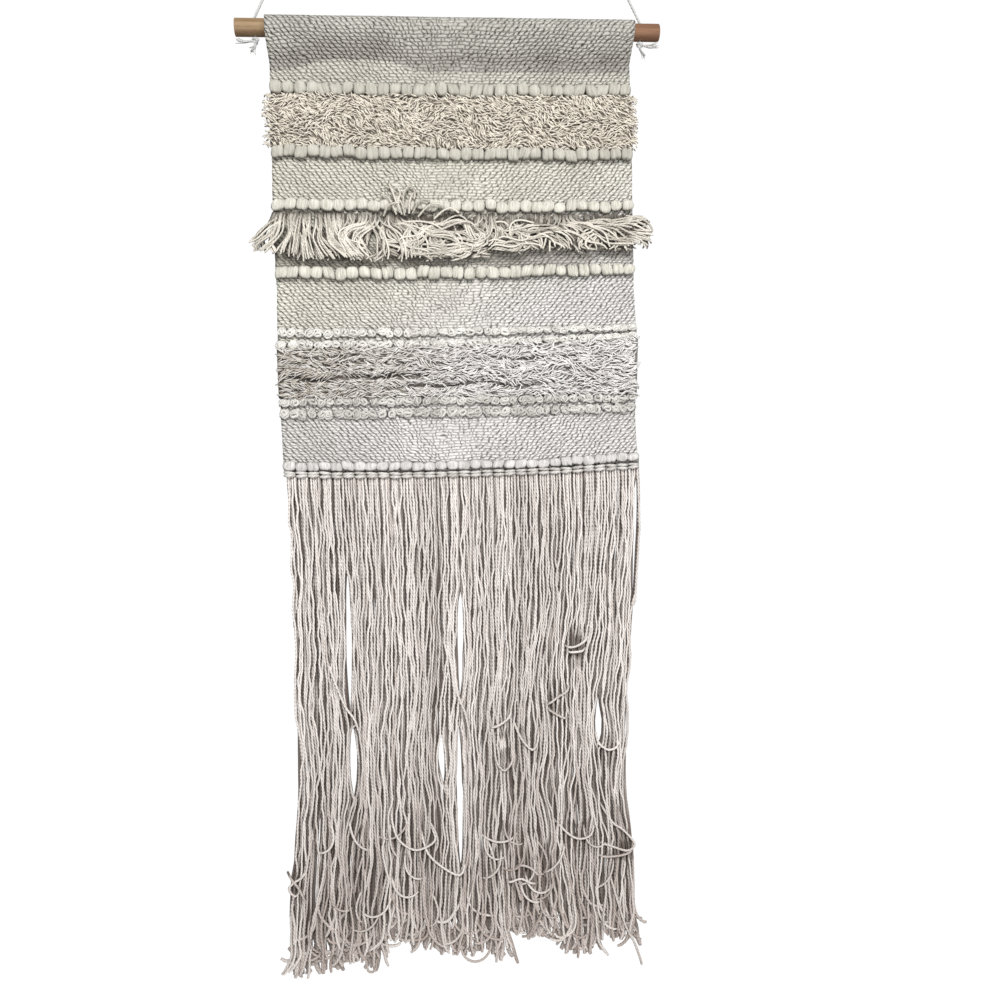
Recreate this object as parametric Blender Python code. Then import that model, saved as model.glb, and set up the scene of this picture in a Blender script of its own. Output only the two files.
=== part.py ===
"""A woven wall hanging on a wooden rod, in metres, +Z up.

The origin is the middle of the rod's axis. The rod runs along X, the front faces -Y and the
wall is behind, at +Y. The cloth is one woven sheet: its top edge goes up over the rod and
down its back as a pocket. Rows of puffy beads and small loops, two bands of shag pile, a row of short
tassels and a long fringe of loose yarn lie on its front and along its lower edge.
"""

import math
import random
from collections import namedtuple

import bmesh
import bpy
from mathutils import Vector

GAP = 0.0003

# Rod, with a hole up through it near each end for the cord
ROD_RADIUS = 0.0095
ROD_LENGTH = 0.468
ROD_SIDES = 24
HOLE_X = 0.2125
HOLE_RADIUS = 0.0023
HOLE_SIDES = 12

# Cord: each leg rises from its hole towards the middle, to a knot with a small hanging loop
CORD_RADIUS = 0.0015
CORD_BEVEL_STEPS = 2
LEG_RUN_PER_RISE = 0.5
LEG_TOP = 0.0455
STOP_KNOT_RADIUS = 0.0040
LOOP_KNOT_RADIUS = 0.0034
LOOP_HALF_WIDTH = 0.0070
LOOP_HALF_HEIGHT = 0.0105
LOOP_POINTS = 20

# Cloth sheet and its rod pocket
CLOTH = 0.0032
POCKET_RADIUS = 0.0113
POCKET_REST = 0.0004
POCKET_STEPS = 11
SEAM_Z = -0.035
HEM_BEND_Z = -0.033
HEM_END_Z = -0.046
CLOTH_COLUMNS = 8
FRONT = -CLOTH / 2 - GAP

# Headings that the tassels and the fringe are knotted to
HEADING_HEIGHT = 0.0070
HEADING_HALF_DEPTH = 0.0035
HEADING_GAP = 0.0004
BUNDLES = 31

# Long fringe
FRINGE_PER_BUNDLE = 5
FRINGE_STEPS = 6
FRINGE_RADIUS = 0.0018
FRINGE_DEPTH = 0.0030
FRINGE_SWAY = 0.0016
FRINGE_SWAY_LENGTH = 0.23
FRINGE_UNEVEN = 0.012
SLIT_REACH = 0.028

# Short tassels
TASSEL_PER_BUNDLE = 2
TASSEL_STEPS = 3
TASSEL_RADIUS = 0.0021
TASSEL_LENGTH = 0.048
TASSEL_STAND_OFF = 0.010
TASSEL_END_LEAN = 0.024

# Pile bands
PILE_COLUMNS = 20
PILE_LEVELS = 5
PILE_LOCK_STEPS = 2
PILE_LOCK_REACH = 0.0060
PILE_LOCK_DROP = 0.0030

Edge = namedtuple("Edge", "z left right")
Row = namedtuple("Row", "name left middle right half_left half_right depth beads")
Slit = namedtuple("Slit", "x top bottom half_width")
Tip = namedtuple("Tip", "x z")
Band = namedtuple("Band", "name above below depth")

# The two side edges of the cloth, from the fold over the rod down to its lower edge
CLOTH_EDGES = (
    Edge(0.0140, -0.2018, 0.2060),
    Edge(-0.0200, -0.2004, 0.2020),
    Edge(-0.0350, -0.1986, 0.1998),
    Edge(-0.0600, -0.1985, 0.2003),
    Edge(-0.1500, -0.2001, 0.2016),
    Edge(-0.1760, -0.2010, 0.2013),
    Edge(-0.2680, -0.2008, 0.2012),
    Edge(-0.2810, -0.1991, 0.1999),
    Edge(-0.3080, -0.2002, 0.2007),
    Edge(-0.3340, -0.2010, 0.2024),
    Edge(-0.4280, -0.2009, 0.1970),
    Edge(-0.4410, -0.2003, 0.1978),
    Edge(-0.4700, -0.2003, 0.2009),
    Edge(-0.4870, -0.1998, 0.2018),
)

# The heights of each row at the left edge, the middle and the right edge of the cloth
BOBBLE_ROWS = (
    Row("bobble_row_1", -0.0651, -0.0666, -0.0655, 0.0073, 0.0073, 0.0095, 31),
    Row("bobble_row_2", -0.1326, -0.1352, -0.1357, 0.0073, 0.0073, 0.0095, 31),
    Row("bobble_row_3", -0.1890, -0.1920, -0.1931, 0.0070, 0.0070, 0.0090, 31),
    Row("bobble_row_4", -0.2634, -0.2654, -0.2620, 0.0075, 0.0070, 0.0095, 31),
    Row("bobble_row_5", -0.4762, -0.4812, -0.4767, 0.0055, 0.0055, 0.0080, 31),
)
LOOP_ROWS = (
    Row("loop_row_1", -0.3292, -0.3309, -0.3282, 0.0060, 0.0040, 0.0065, 34),
    Row("loop_row_2", -0.3419, -0.3432, -0.3370, 0.0060, 0.0040, 0.0065, 34),
    Row("loop_row_3", -0.4057, -0.4072, -0.4077, 0.0063, 0.0060, 0.0065, 34),
    Row("loop_row_4", -0.4190, -0.4208, -0.4203, 0.0063, 0.0060, 0.0065, 34),
)
LOWER_EDGE = Row("lower_edge", -0.4819, -0.4869, -0.4824, 0.0, 0.0, CLOTH, 0)
PILE_BANDS = (
    Band("pile_band_1", BOBBLE_ROWS[0], BOBBLE_ROWS[1], 0.0115),
    Band("pile_band_2", LOOP_ROWS[1], LOOP_ROWS[2], 0.0135),
)

# The outline of the long fringe, the gaps that open in it, and where its yarns end
FRINGE_EDGES = (
    Edge(-0.490, -0.1985, 0.2016),
    Edge(-0.560, -0.1950, 0.2020),
    Edge(-0.640, -0.1945, 0.1960),
    Edge(-0.760, -0.1965, 0.1865),
    Edge(-0.860, -0.2000, 0.1850),
    Edge(-0.930, -0.2060, 0.1900),
    Edge(-1.010, -0.2130, 0.1905),
    Edge(-1.090, -0.2190, 0.1985),
)
SLITS = (
    Slit(0.1995, -0.500, -0.640, 0.0036),
    Slit(-0.1370, -0.590, -0.880, 0.0046),
    Slit(-0.0125, -0.640, -0.980, 0.0036),
    Slit(0.1550, -0.730, -0.850, 0.0028),
)
TIPS = (
    Tip(-0.215, -1.078),
    Tip(-0.175, -1.084),
    Tip(-0.115, -1.079),
    Tip(-0.065, -1.045),
    Tip(-0.016, -1.066),
    Tip(0.035, -1.074),
    Tip(0.090, -1.056),
    Tip(0.140, -1.072),
    Tip(0.200, -1.078),
)


def clear_scene():
    for found in list(bpy.data.objects):
        bpy.data.objects.remove(found, do_unlink=True)


def material(name, colour, roughness):
    made = bpy.data.materials.new(name)
    made.use_nodes = True
    shader = made.node_tree.nodes["Principled BSDF"]
    shader.inputs["Base Color"].default_value = (*colour, 1.0)
    shader.inputs["Roughness"].default_value = roughness
    shader.inputs["Metallic"].default_value = 0.0
    made.diffuse_color = (*colour, 1.0)
    return made


def add_mesh(name, shape, finish):
    """Closes off a bmesh as an object whose faces point out."""
    bmesh.ops.recalc_face_normals(shape, faces=shape.faces[:])
    mesh = bpy.data.meshes.new(name)
    shape.to_mesh(mesh)
    shape.free()
    made = bpy.data.objects.new(name, mesh)
    made.data.materials.append(finish)
    bpy.context.scene.collection.objects.link(made)
    return made


def skin(shape, rings, closed=True):
    """Joins neighbouring rings of vertices with faces, all the way round where closed."""
    for one, other in zip(rings, rings[1:]):
        count = len(one)
        for place in range(count if closed else count - 1):
            after = (place + 1) % count
            shape.faces.new((one[place], one[after], other[after], other[place]))


def vertices(shape, points):
    return [shape.verts.new(point) for point in points]


def grow(shape, root, rings):
    """Grows a strand out of the hole whose rim is root, through rings of as many points."""
    loops = [root] + [vertices(shape, ring) for ring in rings]
    skin(shape, loops)
    shape.faces.new(loops[-1])


def between(table, key, column, at):
    """Reads a column of a table, in a straight line between the rows on both sides of at."""
    rows = sorted(table, key=lambda row: getattr(row, key))
    at = min(max(at, getattr(rows[0], key)), getattr(rows[-1], key))
    for low, high in zip(rows, rows[1:]):
        if at <= getattr(high, key):
            share = (at - getattr(low, key)) / (getattr(high, key) - getattr(low, key))
            return getattr(low, column) + share * (getattr(high, column) - getattr(low, column))
    return getattr(rows[-1], column)


def edge_x(edges, side, z):
    """The x of a point at side, from -1 at the left edge to 1 at the right one."""
    left = between(edges, "z", "left", z)
    right = between(edges, "z", "right", z)
    return left + (right - left) * (side + 1) / 2


def row_z(row, side):
    """The height of a row, on the curve through its left, middle and right heights."""
    tilt = (row.right - row.left) / 2
    bow = (row.left + row.right) / 2 - row.middle
    return row.middle + tilt * side + bow * side * side


def row_half(row, side):
    return row.half_left + (row.half_right - row.half_left) * (side + 1) / 2


def add_rod(finish):
    shape = bmesh.new()
    rings = []
    for x in (-ROD_LENGTH / 2, ROD_LENGTH / 2):
        turns = [math.tau * step / ROD_SIDES for step in range(ROD_SIDES)]
        ring = [(x, ROD_RADIUS * math.cos(turn), ROD_RADIUS * math.sin(turn)) for turn in turns]
        rings.append(vertices(shape, ring))
    skin(shape, rings)
    for ring in rings:
        shape.faces.new(ring)
    rod = add_mesh("wooden_rod", shape, finish)
    rod.data.shade_smooth()
    rod.data.set_sharp_from_angle(angle=math.radians(40))
    for side in (-1, 1):
        cutter_shape = bmesh.new()
        bmesh.ops.create_cone(
            cutter_shape,
            cap_ends=True,
            segments=HOLE_SIDES,
            radius1=HOLE_RADIUS,
            radius2=HOLE_RADIUS,
            depth=4 * ROD_RADIUS,
        )
        cutter = add_mesh("hole_cutter", cutter_shape, finish)
        cutter.location.x = side * HOLE_X
        cutter.hide_render = True
        cutter.display_type = "WIRE"
        hole = rod.modifiers.new("cord_hole", "BOOLEAN")
        hole.operation = "DIFFERENCE"
        hole.object = cutter


def pocket_path():
    """The middle of the sheet's thickness, as (y, z), from the hem's end over the rod and down."""
    middle_z = ROD_RADIUS + POCKET_REST - POCKET_RADIUS
    radius = POCKET_RADIUS + CLOTH / 2
    hem_y = CLOTH + GAP
    path = [(hem_y, HEM_END_Z), (hem_y, HEM_BEND_Z)]
    back_reach = math.hypot(hem_y, HEM_BEND_Z - middle_z)
    back_turn = math.atan2(HEM_BEND_Z - middle_z, hem_y) + math.acos(radius / back_reach)
    front_turn = 1.5 * math.pi - math.acos(radius / (middle_z - SEAM_Z))
    for step in range(POCKET_STEPS + 1):
        turn = back_turn + (front_turn - back_turn) * step / POCKET_STEPS
        path.append((radius * math.cos(turn), middle_z + radius * math.sin(turn)))
    path += [(0.0, edge.z) for edge in CLOTH_EDGES if LOWER_EDGE.left < edge.z <= SEAM_Z]
    return path + [(0.0, LOWER_EDGE.middle)]


def sheet_sides(path):
    """Both faces of a sheet along a path, as lists of (y, z), half a thickness to each side."""
    outer, inner = [], []
    last = len(path) - 1
    for place, (y, z) in enumerate(path):
        before, after = path[max(place - 1, 0)], path[min(place + 1, last)]
        along = Vector((after[0] - before[0], after[1] - before[1])).normalized()
        outer.append((y + along.y * CLOTH / 2, z - along.x * CLOTH / 2))
        inner.append((y - along.y * CLOTH / 2, z + along.x * CLOTH / 2))
    return outer, inner


def add_panel(finish):
    shape = bmesh.new()
    faces = []
    sides = [-1 + 2 * column / CLOTH_COLUMNS for column in range(CLOTH_COLUMNS + 1)]
    path = pocket_path()
    for face in sheet_sides(path):
        rings = []
        for place, ((y, z), (_, level)) in enumerate(zip(face, path)):
            hem = place == len(path) - 1
            ring = []
            for side in sides:
                ring.append((edge_x(CLOTH_EDGES, side, level), y, row_z(LOWER_EDGE, side) if hem else z))
            rings.append(vertices(shape, ring))
        skin(shape, rings, closed=False)
        faces.append(rings)
    outer, inner = faces
    skin(shape, [outer[0], inner[0]], closed=False)
    skin(shape, [outer[-1], inner[-1]], closed=False)
    for column in (0, -1):
        rims = [[ring[column] for ring in face] for face in faces]
        skin(shape, rims, closed=False)
    add_mesh("woven_panel", shape, finish)


def add_bead_row(row, finish, chance):
    """A flat-backed bar, narrow between the beads and swollen at the middle of each."""
    shape = bmesh.new()
    rings = []
    for station in range(2 * row.beads + 1):
        side = -1 + station / row.beads
        swell = chance.uniform(0.88, 1.0) if station % 2 else chance.uniform(0.50, 0.62)
        half, depth = row_half(row, side) * swell, row.depth * swell
        z = row_z(row, side)
        x = edge_x(CLOTH_EDGES, side, z)
        profile = (
            (FRONT, -half / 2),
            (FRONT, half / 2),
            (FRONT - depth * 0.55, half),
            (FRONT - depth, 0.0),
            (FRONT - depth * 0.55, -half),
        )
        rings.append(vertices(shape, [(x, y, z + rise) for y, rise in profile]))
    skin(shape, rings)
    shape.faces.new(rings[0])
    shape.faces.new(rings[-1])
    add_mesh(row.name, shape, finish)


def pile_bulge(side, level):
    """How far the pile's lumps stand out at a place, as a share of the band's depth."""
    share = level / PILE_LEVELS
    crown = 0.62 + 0.38 * math.sin(math.pi * share)
    lumps = 0.15 * math.sin(31 * side + 2.1 * level) + 0.11 * math.sin(73 * side - 1.3 * level)
    return crown * (0.80 + lumps)


def pile_lock(root, side):
    """Rings for a lock that leaves the pile's end face, tapering outwards and down."""
    middle = sum(root, Vector()) / len(root)
    rings = []
    for step in range(1, PILE_LOCK_STEPS + 1):
        share = step / PILE_LOCK_STEPS
        shift = Vector((side * PILE_LOCK_REACH * share, 0.0, -PILE_LOCK_DROP * share * share))
        rings.append([middle + (corner - middle) * (1 - 0.75 * share) + shift for corner in root])
    return rings


def add_pile_band(band, finish):
    """A lumpy slab with a lock growing from each part of its two end faces."""
    shape = bmesh.new()
    backs, fronts = [], []
    for column in range(PILE_COLUMNS + 1):
        side = -1 + 2 * column / PILE_COLUMNS
        top = row_z(band.above, side) - row_half(band.above, side) - 2 * GAP
        bottom = row_z(band.below, side) + row_half(band.below, side) + 2 * GAP
        back, front = [], []
        for level in range(PILE_LEVELS + 1):
            z = bottom + (top - bottom) * level / PILE_LEVELS
            x = edge_x(CLOTH_EDGES, side, z)
            back.append((x, FRONT, z))
            front.append((x, FRONT - band.depth * pile_bulge(side, level), z))
        backs.append(vertices(shape, back))
        fronts.append(vertices(shape, front))
    skin(shape, backs, closed=False)
    skin(shape, fronts, closed=False)
    for level in (0, -1):
        skin(shape, [[ring[level] for ring in backs], [ring[level] for ring in fronts]], closed=False)
    for side, back, front in ((-1, backs[0], fronts[0]), (1, backs[-1], fronts[-1])):
        for level in range(PILE_LEVELS):
            root = [back[level], back[level + 1], front[level + 1], front[level]]
            grow(shape, root, pile_lock([corner.co.copy() for corner in root], side))
    add_mesh(band.name, shape, finish)


def strand_ring(middle, radius, forward):
    """A three-sided section with its flat side to the front where forward, else to the back."""
    wide, deep = radius * math.cos(math.pi / 6), radius / 2
    face = -deep if forward else deep
    corners = ((-wide, face), (wide, face), (0.0, -2 * face))
    return [middle + Vector((x, y, 0.0)) for x, y in corners]


def add_fringed_bar(name, cells, station, strand, finish):
    """A bar with one strand growing from each cell of its underside, in turn at front and back.

    station gives the bar's four corners at a side: back and front low, front and back high.
    """
    shape = bmesh.new()
    rings = [vertices(shape, station(cell, -1 + 2 * cell / cells)) for cell in range(cells + 1)]
    for cell, (one, other) in enumerate(zip(rings, rings[1:])):
        for corner in (1, 2, 3):
            after = (corner + 1) % 4
            shape.faces.new((one[corner], one[after], other[after], other[corner]))
        forward = cell % 2 == 0
        front_half = (one[1], other[1], other[0])
        back_half = (one[0], other[0], one[1])
        root, rest = (front_half, back_half) if forward else (back_half, front_half)
        shape.faces.new(rest)
        grow(shape, list(root), strand(-1 + (2 * cell + 1) / cells, forward))
    shape.faces.new(rings[0])
    shape.faces.new(rings[-1])
    add_mesh(name, shape, finish)


def knot_swell(cell, cells_per_knot):
    """How full a heading is at a cell: each bundle is a rounded knot."""
    return 0.72 + 0.28 * math.sin(math.pi * (cell % cells_per_knot) / cells_per_knot)


def fringe_x(side, z):
    """Where a yarn hangs at a height: inside the fringe's outline, pushed off its slits."""
    x = edge_x(FRINGE_EDGES, side, z)
    for slit in SLITS:
        if slit.bottom < z < slit.top:
            share = (slit.top - z) / (slit.top - slit.bottom)
            reach = math.exp(-abs(x - slit.x) / SLIT_REACH)
            x += math.copysign(slit.half_width, x - slit.x) * reach * math.sin(math.pi * share)
    return x


def add_long_fringe(finish, chance):
    cells = BUNDLES * FRINGE_PER_BUNDLE

    def station(cell, side):
        top = row_z(LOWER_EDGE, side) - HEADING_GAP
        bottom = top - HEADING_HEIGHT
        x = edge_x(CLOTH_EDGES, side, LOWER_EDGE.middle)
        deep = HEADING_HALF_DEPTH * knot_swell(cell, FRINGE_PER_BUNDLE)
        return [(x, deep, bottom), (x, -deep, bottom), (x, -deep, top), (x, deep, top)]

    def strand(side, forward):
        top = row_z(LOWER_EDGE, side) - HEADING_GAP - HEADING_HEIGHT
        end = between(TIPS, "x", "z", edge_x(FRINGE_EDGES, side, TIPS[0].z))
        end += chance.uniform(-FRINGE_UNEVEN, FRINGE_UNEVEN)
        depth = -FRINGE_DEPTH if forward else FRINGE_DEPTH
        rings = []
        for step in range(1, FRINGE_STEPS + 1):
            z = top + (end - top) * step / FRINGE_STEPS
            sway = FRINGE_SWAY * math.sin(math.tau * z / FRINGE_SWAY_LENGTH + 3 * side)
            middle = Vector((fringe_x(side, z) + sway, depth + sway, z))
            rings.append(strand_ring(middle, FRINGE_RADIUS, forward))
        return rings

    add_fringed_bar("long_fringe", cells, station, strand, finish)


def add_tassel_row(finish, chance):
    cells = BUNDLES * TASSEL_PER_BUNDLE
    above = BOBBLE_ROWS[2]
    middle_y = FRONT - HEADING_HALF_DEPTH

    def heading_top(side):
        return row_z(above, side) - row_half(above, side) - HEADING_GAP

    def station(cell, side):
        top = heading_top(side)
        bottom = top - HEADING_HEIGHT
        x = edge_x(CLOTH_EDGES, side, top)
        front = FRONT - 2 * HEADING_HALF_DEPTH * knot_swell(cell, TASSEL_PER_BUNDLE)
        return [(x, FRONT, bottom), (x, front, bottom), (x, front, top), (x, FRONT, top)]

    def strand(side, forward):
        top = heading_top(side) - HEADING_HEIGHT
        length = TASSEL_LENGTH * chance.uniform(0.82, 1.0)
        rings = []
        for step in range(1, TASSEL_STEPS + 1):
            share = step / TASSEL_STEPS
            x = edge_x(CLOTH_EDGES, side, top) + TASSEL_END_LEAN * share**1.5 * side**5
            depth = TASSEL_STAND_OFF * math.sin(0.5 * math.pi * share) * (1.0 if forward else 0.45)
            y = middle_y - depth - (FRINGE_DEPTH / 2 if forward else 0.0)
            middle = Vector((x, y, top - length * share))
            rings.append(strand_ring(middle, TASSEL_RADIUS, forward))
        return rings

    add_fringed_bar("tassel_row", cells, station, strand, finish)


def add_tube(name, route, finish, cyclic=False):
    """A round tube along (x, y, z, radius) points, its ends closed unless it is a ring."""
    data = bpy.data.curves.new(name, "CURVE")
    data.dimensions = "3D"
    data.bevel_depth = 1.0
    data.bevel_resolution = CORD_BEVEL_STEPS
    data.use_fill_caps = not cyclic
    spline = data.splines.new("POLY")
    spline.points.add(len(route) - 1)
    spline.use_cyclic_u = cyclic
    for point, (x, y, z, radius) in zip(spline.points, route):
        point.co = (x, y, z, 1.0)
        point.radius = radius
    made = bpy.data.objects.new(name, data)
    data.materials.append(finish)
    bpy.context.scene.collection.objects.link(made)


def leg_route(side):
    """The cord's leg: up through the hole, bending at its mouth, then straight and taut."""
    mouth = ROD_RADIUS + CORD_RADIUS
    heights = [-ROD_RADIUS, -ROD_RADIUS / 2, 0.0, ROD_RADIUS / 2, mouth]
    route = [(side * HOLE_X, 0.0, z, CORD_RADIUS) for z in heights]
    steps = 5
    for step in range(1, steps + 1):
        rise = (LEG_TOP - mouth) * step / steps
        route.append((side * (HOLE_X - LEG_RUN_PER_RISE * rise), 0.0, mouth + rise, CORD_RADIUS))
    return route


def stop_knot_route(side):
    """A tail, the knot under the rod's hole, and a second tail."""
    z = -ROD_RADIUS - GAP - STOP_KNOT_RADIUS
    offsets = (
        (0.0185, -0.0030, -0.0010, CORD_RADIUS),
        (0.0120, -0.0020, -0.0020, CORD_RADIUS),
        (0.0062, -0.0008, -0.0010, CORD_RADIUS),
        (0.0030, 0.0, 0.0, STOP_KNOT_RADIUS * 0.85),
        (0.0, 0.0, 0.0, STOP_KNOT_RADIUS),
        (-0.0010, -0.0010, -0.0032, STOP_KNOT_RADIUS * 0.80),
        (0.0008, -0.0020, -0.0066, CORD_RADIUS),
        (0.0040, -0.0026, -0.0120, CORD_RADIUS),
    )
    return [(side * (HOLE_X + x), y, z + rise, radius) for x, y, rise, radius in offsets]


def end_loop_route(side):
    """A ring of cord in line with its leg, thickened at the low point by the knot that ties it."""
    lean = math.atan(LEG_RUN_PER_RISE)
    foot = leg_route(side)[-1]
    reach = LOOP_KNOT_RADIUS + GAP + LOOP_HALF_HEIGHT
    middle_x = foot[0] - side * reach * math.sin(lean)
    middle_z = foot[2] + reach * math.cos(lean)
    route = []
    for step in range(LOOP_POINTS):
        turn = math.tau * step / LOOP_POINTS
        across, along = LOOP_HALF_WIDTH * math.sin(turn), -LOOP_HALF_HEIGHT * math.cos(turn)
        knot = max(0.0, math.cos(turn)) ** 8
        radius = CORD_RADIUS + (LOOP_KNOT_RADIUS - CORD_RADIUS) * knot
        x = middle_x + side * (across * math.cos(lean) - along * math.sin(lean))
        z = middle_z + across * math.sin(lean) + along * math.cos(lean)
        route.append((x, 0.0, z, radius))
    return route


def build():
    clear_scene()
    chance = random.Random(31)
    wood = material("beech_wood", (0.48, 0.28, 0.14), 0.5)
    weave = material("ecru_weave", (0.62, 0.59, 0.52), 0.9)
    roving = material("cream_roving", (0.74, 0.71, 0.63), 0.85)
    pile = material("ecru_pile", (0.62, 0.56, 0.49), 0.95)
    yarn = material("fringe_yarn", (0.60, 0.55, 0.50), 0.9)
    cord = material("cotton_cord", (0.78, 0.77, 0.74), 0.8)
    add_rod(wood)
    add_panel(weave)
    for row in BOBBLE_ROWS:
        add_bead_row(row, roving, chance)
    for row in LOOP_ROWS:
        add_bead_row(row, pile, chance)
    for band in PILE_BANDS:
        add_pile_band(band, pile)
    add_tassel_row(yarn, chance)
    add_long_fringe(yarn, chance)
    for name, side in (("left", -1), ("right", 1)):
        add_tube(f"cord_leg_{name}", leg_route(side), cord)
        add_tube(f"stop_knot_{name}", stop_knot_route(side), cord)
        add_tube(f"end_loop_{name}", end_loop_route(side), cord, cyclic=True)


build()
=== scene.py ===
import math
import random

import bmesh
import bpy
from mathutils import Matrix, Vector
from mathutils.noise import noise


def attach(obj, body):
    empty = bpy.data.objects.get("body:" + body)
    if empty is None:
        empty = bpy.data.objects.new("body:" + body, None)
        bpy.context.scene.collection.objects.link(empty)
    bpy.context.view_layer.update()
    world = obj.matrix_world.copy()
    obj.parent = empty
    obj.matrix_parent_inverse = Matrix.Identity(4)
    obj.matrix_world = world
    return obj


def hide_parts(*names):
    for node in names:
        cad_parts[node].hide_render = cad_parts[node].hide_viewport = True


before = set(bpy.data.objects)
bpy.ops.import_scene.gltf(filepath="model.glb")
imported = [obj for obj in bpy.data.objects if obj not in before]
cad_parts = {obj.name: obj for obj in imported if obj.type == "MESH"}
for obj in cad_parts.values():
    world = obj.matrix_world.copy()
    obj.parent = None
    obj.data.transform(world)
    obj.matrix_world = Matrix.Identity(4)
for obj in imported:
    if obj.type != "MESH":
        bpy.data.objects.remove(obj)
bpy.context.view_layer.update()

# ---- Camera ---------------------------------------------------------------------------------------
# The photograph is taken by hand from a little over a metre, level with the lower weave bands and
# turned a few degrees to the right. The picture is square, and the camera has no shift.


def placed(name, data):
    """An object of that name in the scene, for a mesh, a curve, a lamp or a lens."""
    made = bpy.data.objects.new(name, data)
    bpy.context.scene.collection.objects.link(made)
    return made


lens = bpy.data.cameras.new("camera")
lens.sensor_width = 36.0
lens.lens = 36.0
lens.clip_start = 0.05
to_right = Vector((0.995226, -0.094834, -0.023075))
to_top = Vector((0.030084, 0.073160, 0.996866))
to_eye = Vector((-0.092849, -0.992801, 0.075664))
eye = Matrix.Translation((-0.06411, -1.14092, -0.43538))
camera = placed("camera", lens)
camera.matrix_world = eye @ Matrix((to_right, to_top, to_eye)).transposed().to_4x4()
bpy.context.scene.camera = camera

# ---- Hanging cord ---------------------------------------------------------------------------------
# A thin cotton cord of three plies. Each leg goes down through the rod, where an overhand knot with
# two frayed tails stops it, and rises towards the middle to a small tied loop above the view.

CORD_RADIUS = 0.0015
ROD_RADIUS = 0.0095
HOLE_X = 0.2125
LEG_TOP = 0.0455
LEG_RUN_PER_RISE = 0.5
LEG_PLY = 0.00076
KNOT_Z = -0.0138
KNOT_SCALE = 0.00105
KNOT_PLY = 0.00084
TAIL_PLY = 0.00074
# the tails' corners from the knot's middle, in millimetres
TAILS = (
    ((2.0, 0.0, -0.4), (6.2, -0.8, -1.0), (12.0, -2.0, -2.0), (18.2, -3.0, -1.2)),
    ((-0.4, -1.0, -3.0), (0.8, -2.0, -6.6), (2.8, -2.4, -9.4), (4.0, -2.6, -11.8)),
)
FIBRES_PER_TAIL = 14
LOOP_HALF_WIDTH = 0.0070
LOOP_HALF_HEIGHT = 0.0105
LOOP_ABOVE_LEG = 0.0037
WRAP_TURNS = 3.5
WRAP_REACH = 0.0023


def dye(red, green, blue):
    """A colour from 0 to 255, as the eye sees it, in the shader's own linear numbers."""
    made = []
    for part in (red, green, blue):
        share = part / 255
        made.append(share / 12.92 if share < 0.04 else ((share + 0.055) / 1.055) ** 2.4)
    return (*made, 1.0)


class Value:
    """One output among a finish's nodes. Sums that are written with it become Math nodes."""

    def __init__(self, tree, socket=None):
        self.tree = tree
        self.socket = socket

    def node(self, kind, inputs=None, settings=None, out=0):
        """Adds a shader node, first its settings, then its sockets' values or links."""
        made = self.tree.nodes.new("ShaderNode" + kind)
        for name, setting in (settings or {}).items():
            setattr(made, name, setting)
        for name, value in (inputs or {}).items():
            if isinstance(value, Value):
                self.tree.links.new(value.socket, made.inputs[name])
            else:
                made.inputs[name].default_value = value
        return Value(self.tree, made.outputs[out])

    def math(self, operation, *terms):
        return self.node("Math", dict(enumerate(terms)), {"operation": operation})

    def __add__(self, other):
        return self.math("ADD", self, other)

    def __radd__(self, other):
        return self.math("ADD", other, self)

    def __sub__(self, other):
        return self.math("SUBTRACT", self, other)

    def __rsub__(self, other):
        return self.math("SUBTRACT", other, self)

    def __mul__(self, other):
        return self.math("MULTIPLY", self, other)

    def __rmul__(self, other):
        return self.math("MULTIPLY", other, self)

    def part(self, number):
        """The x, y or z of this place."""
        return self.node("SeparateXYZ", {"Vector": self}, out=number)

    def ramp(self, low, high):
        """A smooth step from 0 at low to 1 at high."""
        ends = {"Value": self, "From Min": low, "From Max": high}
        return self.node("MapRange", ends, {"interpolation_type": "SMOOTHSTEP"})

    def blend(self, first, second):
        """A mix of two colours, by this share of the second one."""
        return self.node("Mix", {0: self, 6: first, 7: second}, {"data_type": "RGBA"}, out=2)

    def grain(self, size, detail=2.0, stretch=(1.0, 1.0, 1.0)):
        """Noise from 0 to 1 on this place, with lumps of about size metres."""
        scaled = self.node("Mapping", {"Vector": self, "Scale": tuple(part / size for part in stretch)})
        return self.node("TexNoise", {"Vector": scaled, "Scale": 1.0, "Detail": detail})


def finish_with(name, roughness, sheen):
    """An empty matt finish, with the start for its nodes and the shader that takes them."""
    made = bpy.data.materials.new(name)
    made.use_nodes = True
    shader = made.node_tree.nodes["Principled BSDF"]
    shader.inputs["Roughness"].default_value = roughness
    shader.inputs["Sheen Weight"].default_value = sheen
    shader.inputs["Sheen Roughness"].default_value = 0.5
    shader.inputs["Specular IOR Level"].default_value = 0.25
    return made, Value(made.node_tree), shader


def lay_on(shader, colour, height, relief, strength=1.0):
    """Gives a shader its colour, and the bump that a height from 0 to 1 makes at such a relief."""
    colour.tree.links.new(colour.socket, shader.inputs["Base Color"])
    bump = colour.node("Bump", {"Height": height, "Distance": relief, "Strength": strength})
    colour.tree.links.new(bump.socket, shader.inputs["Normal"])


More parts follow.
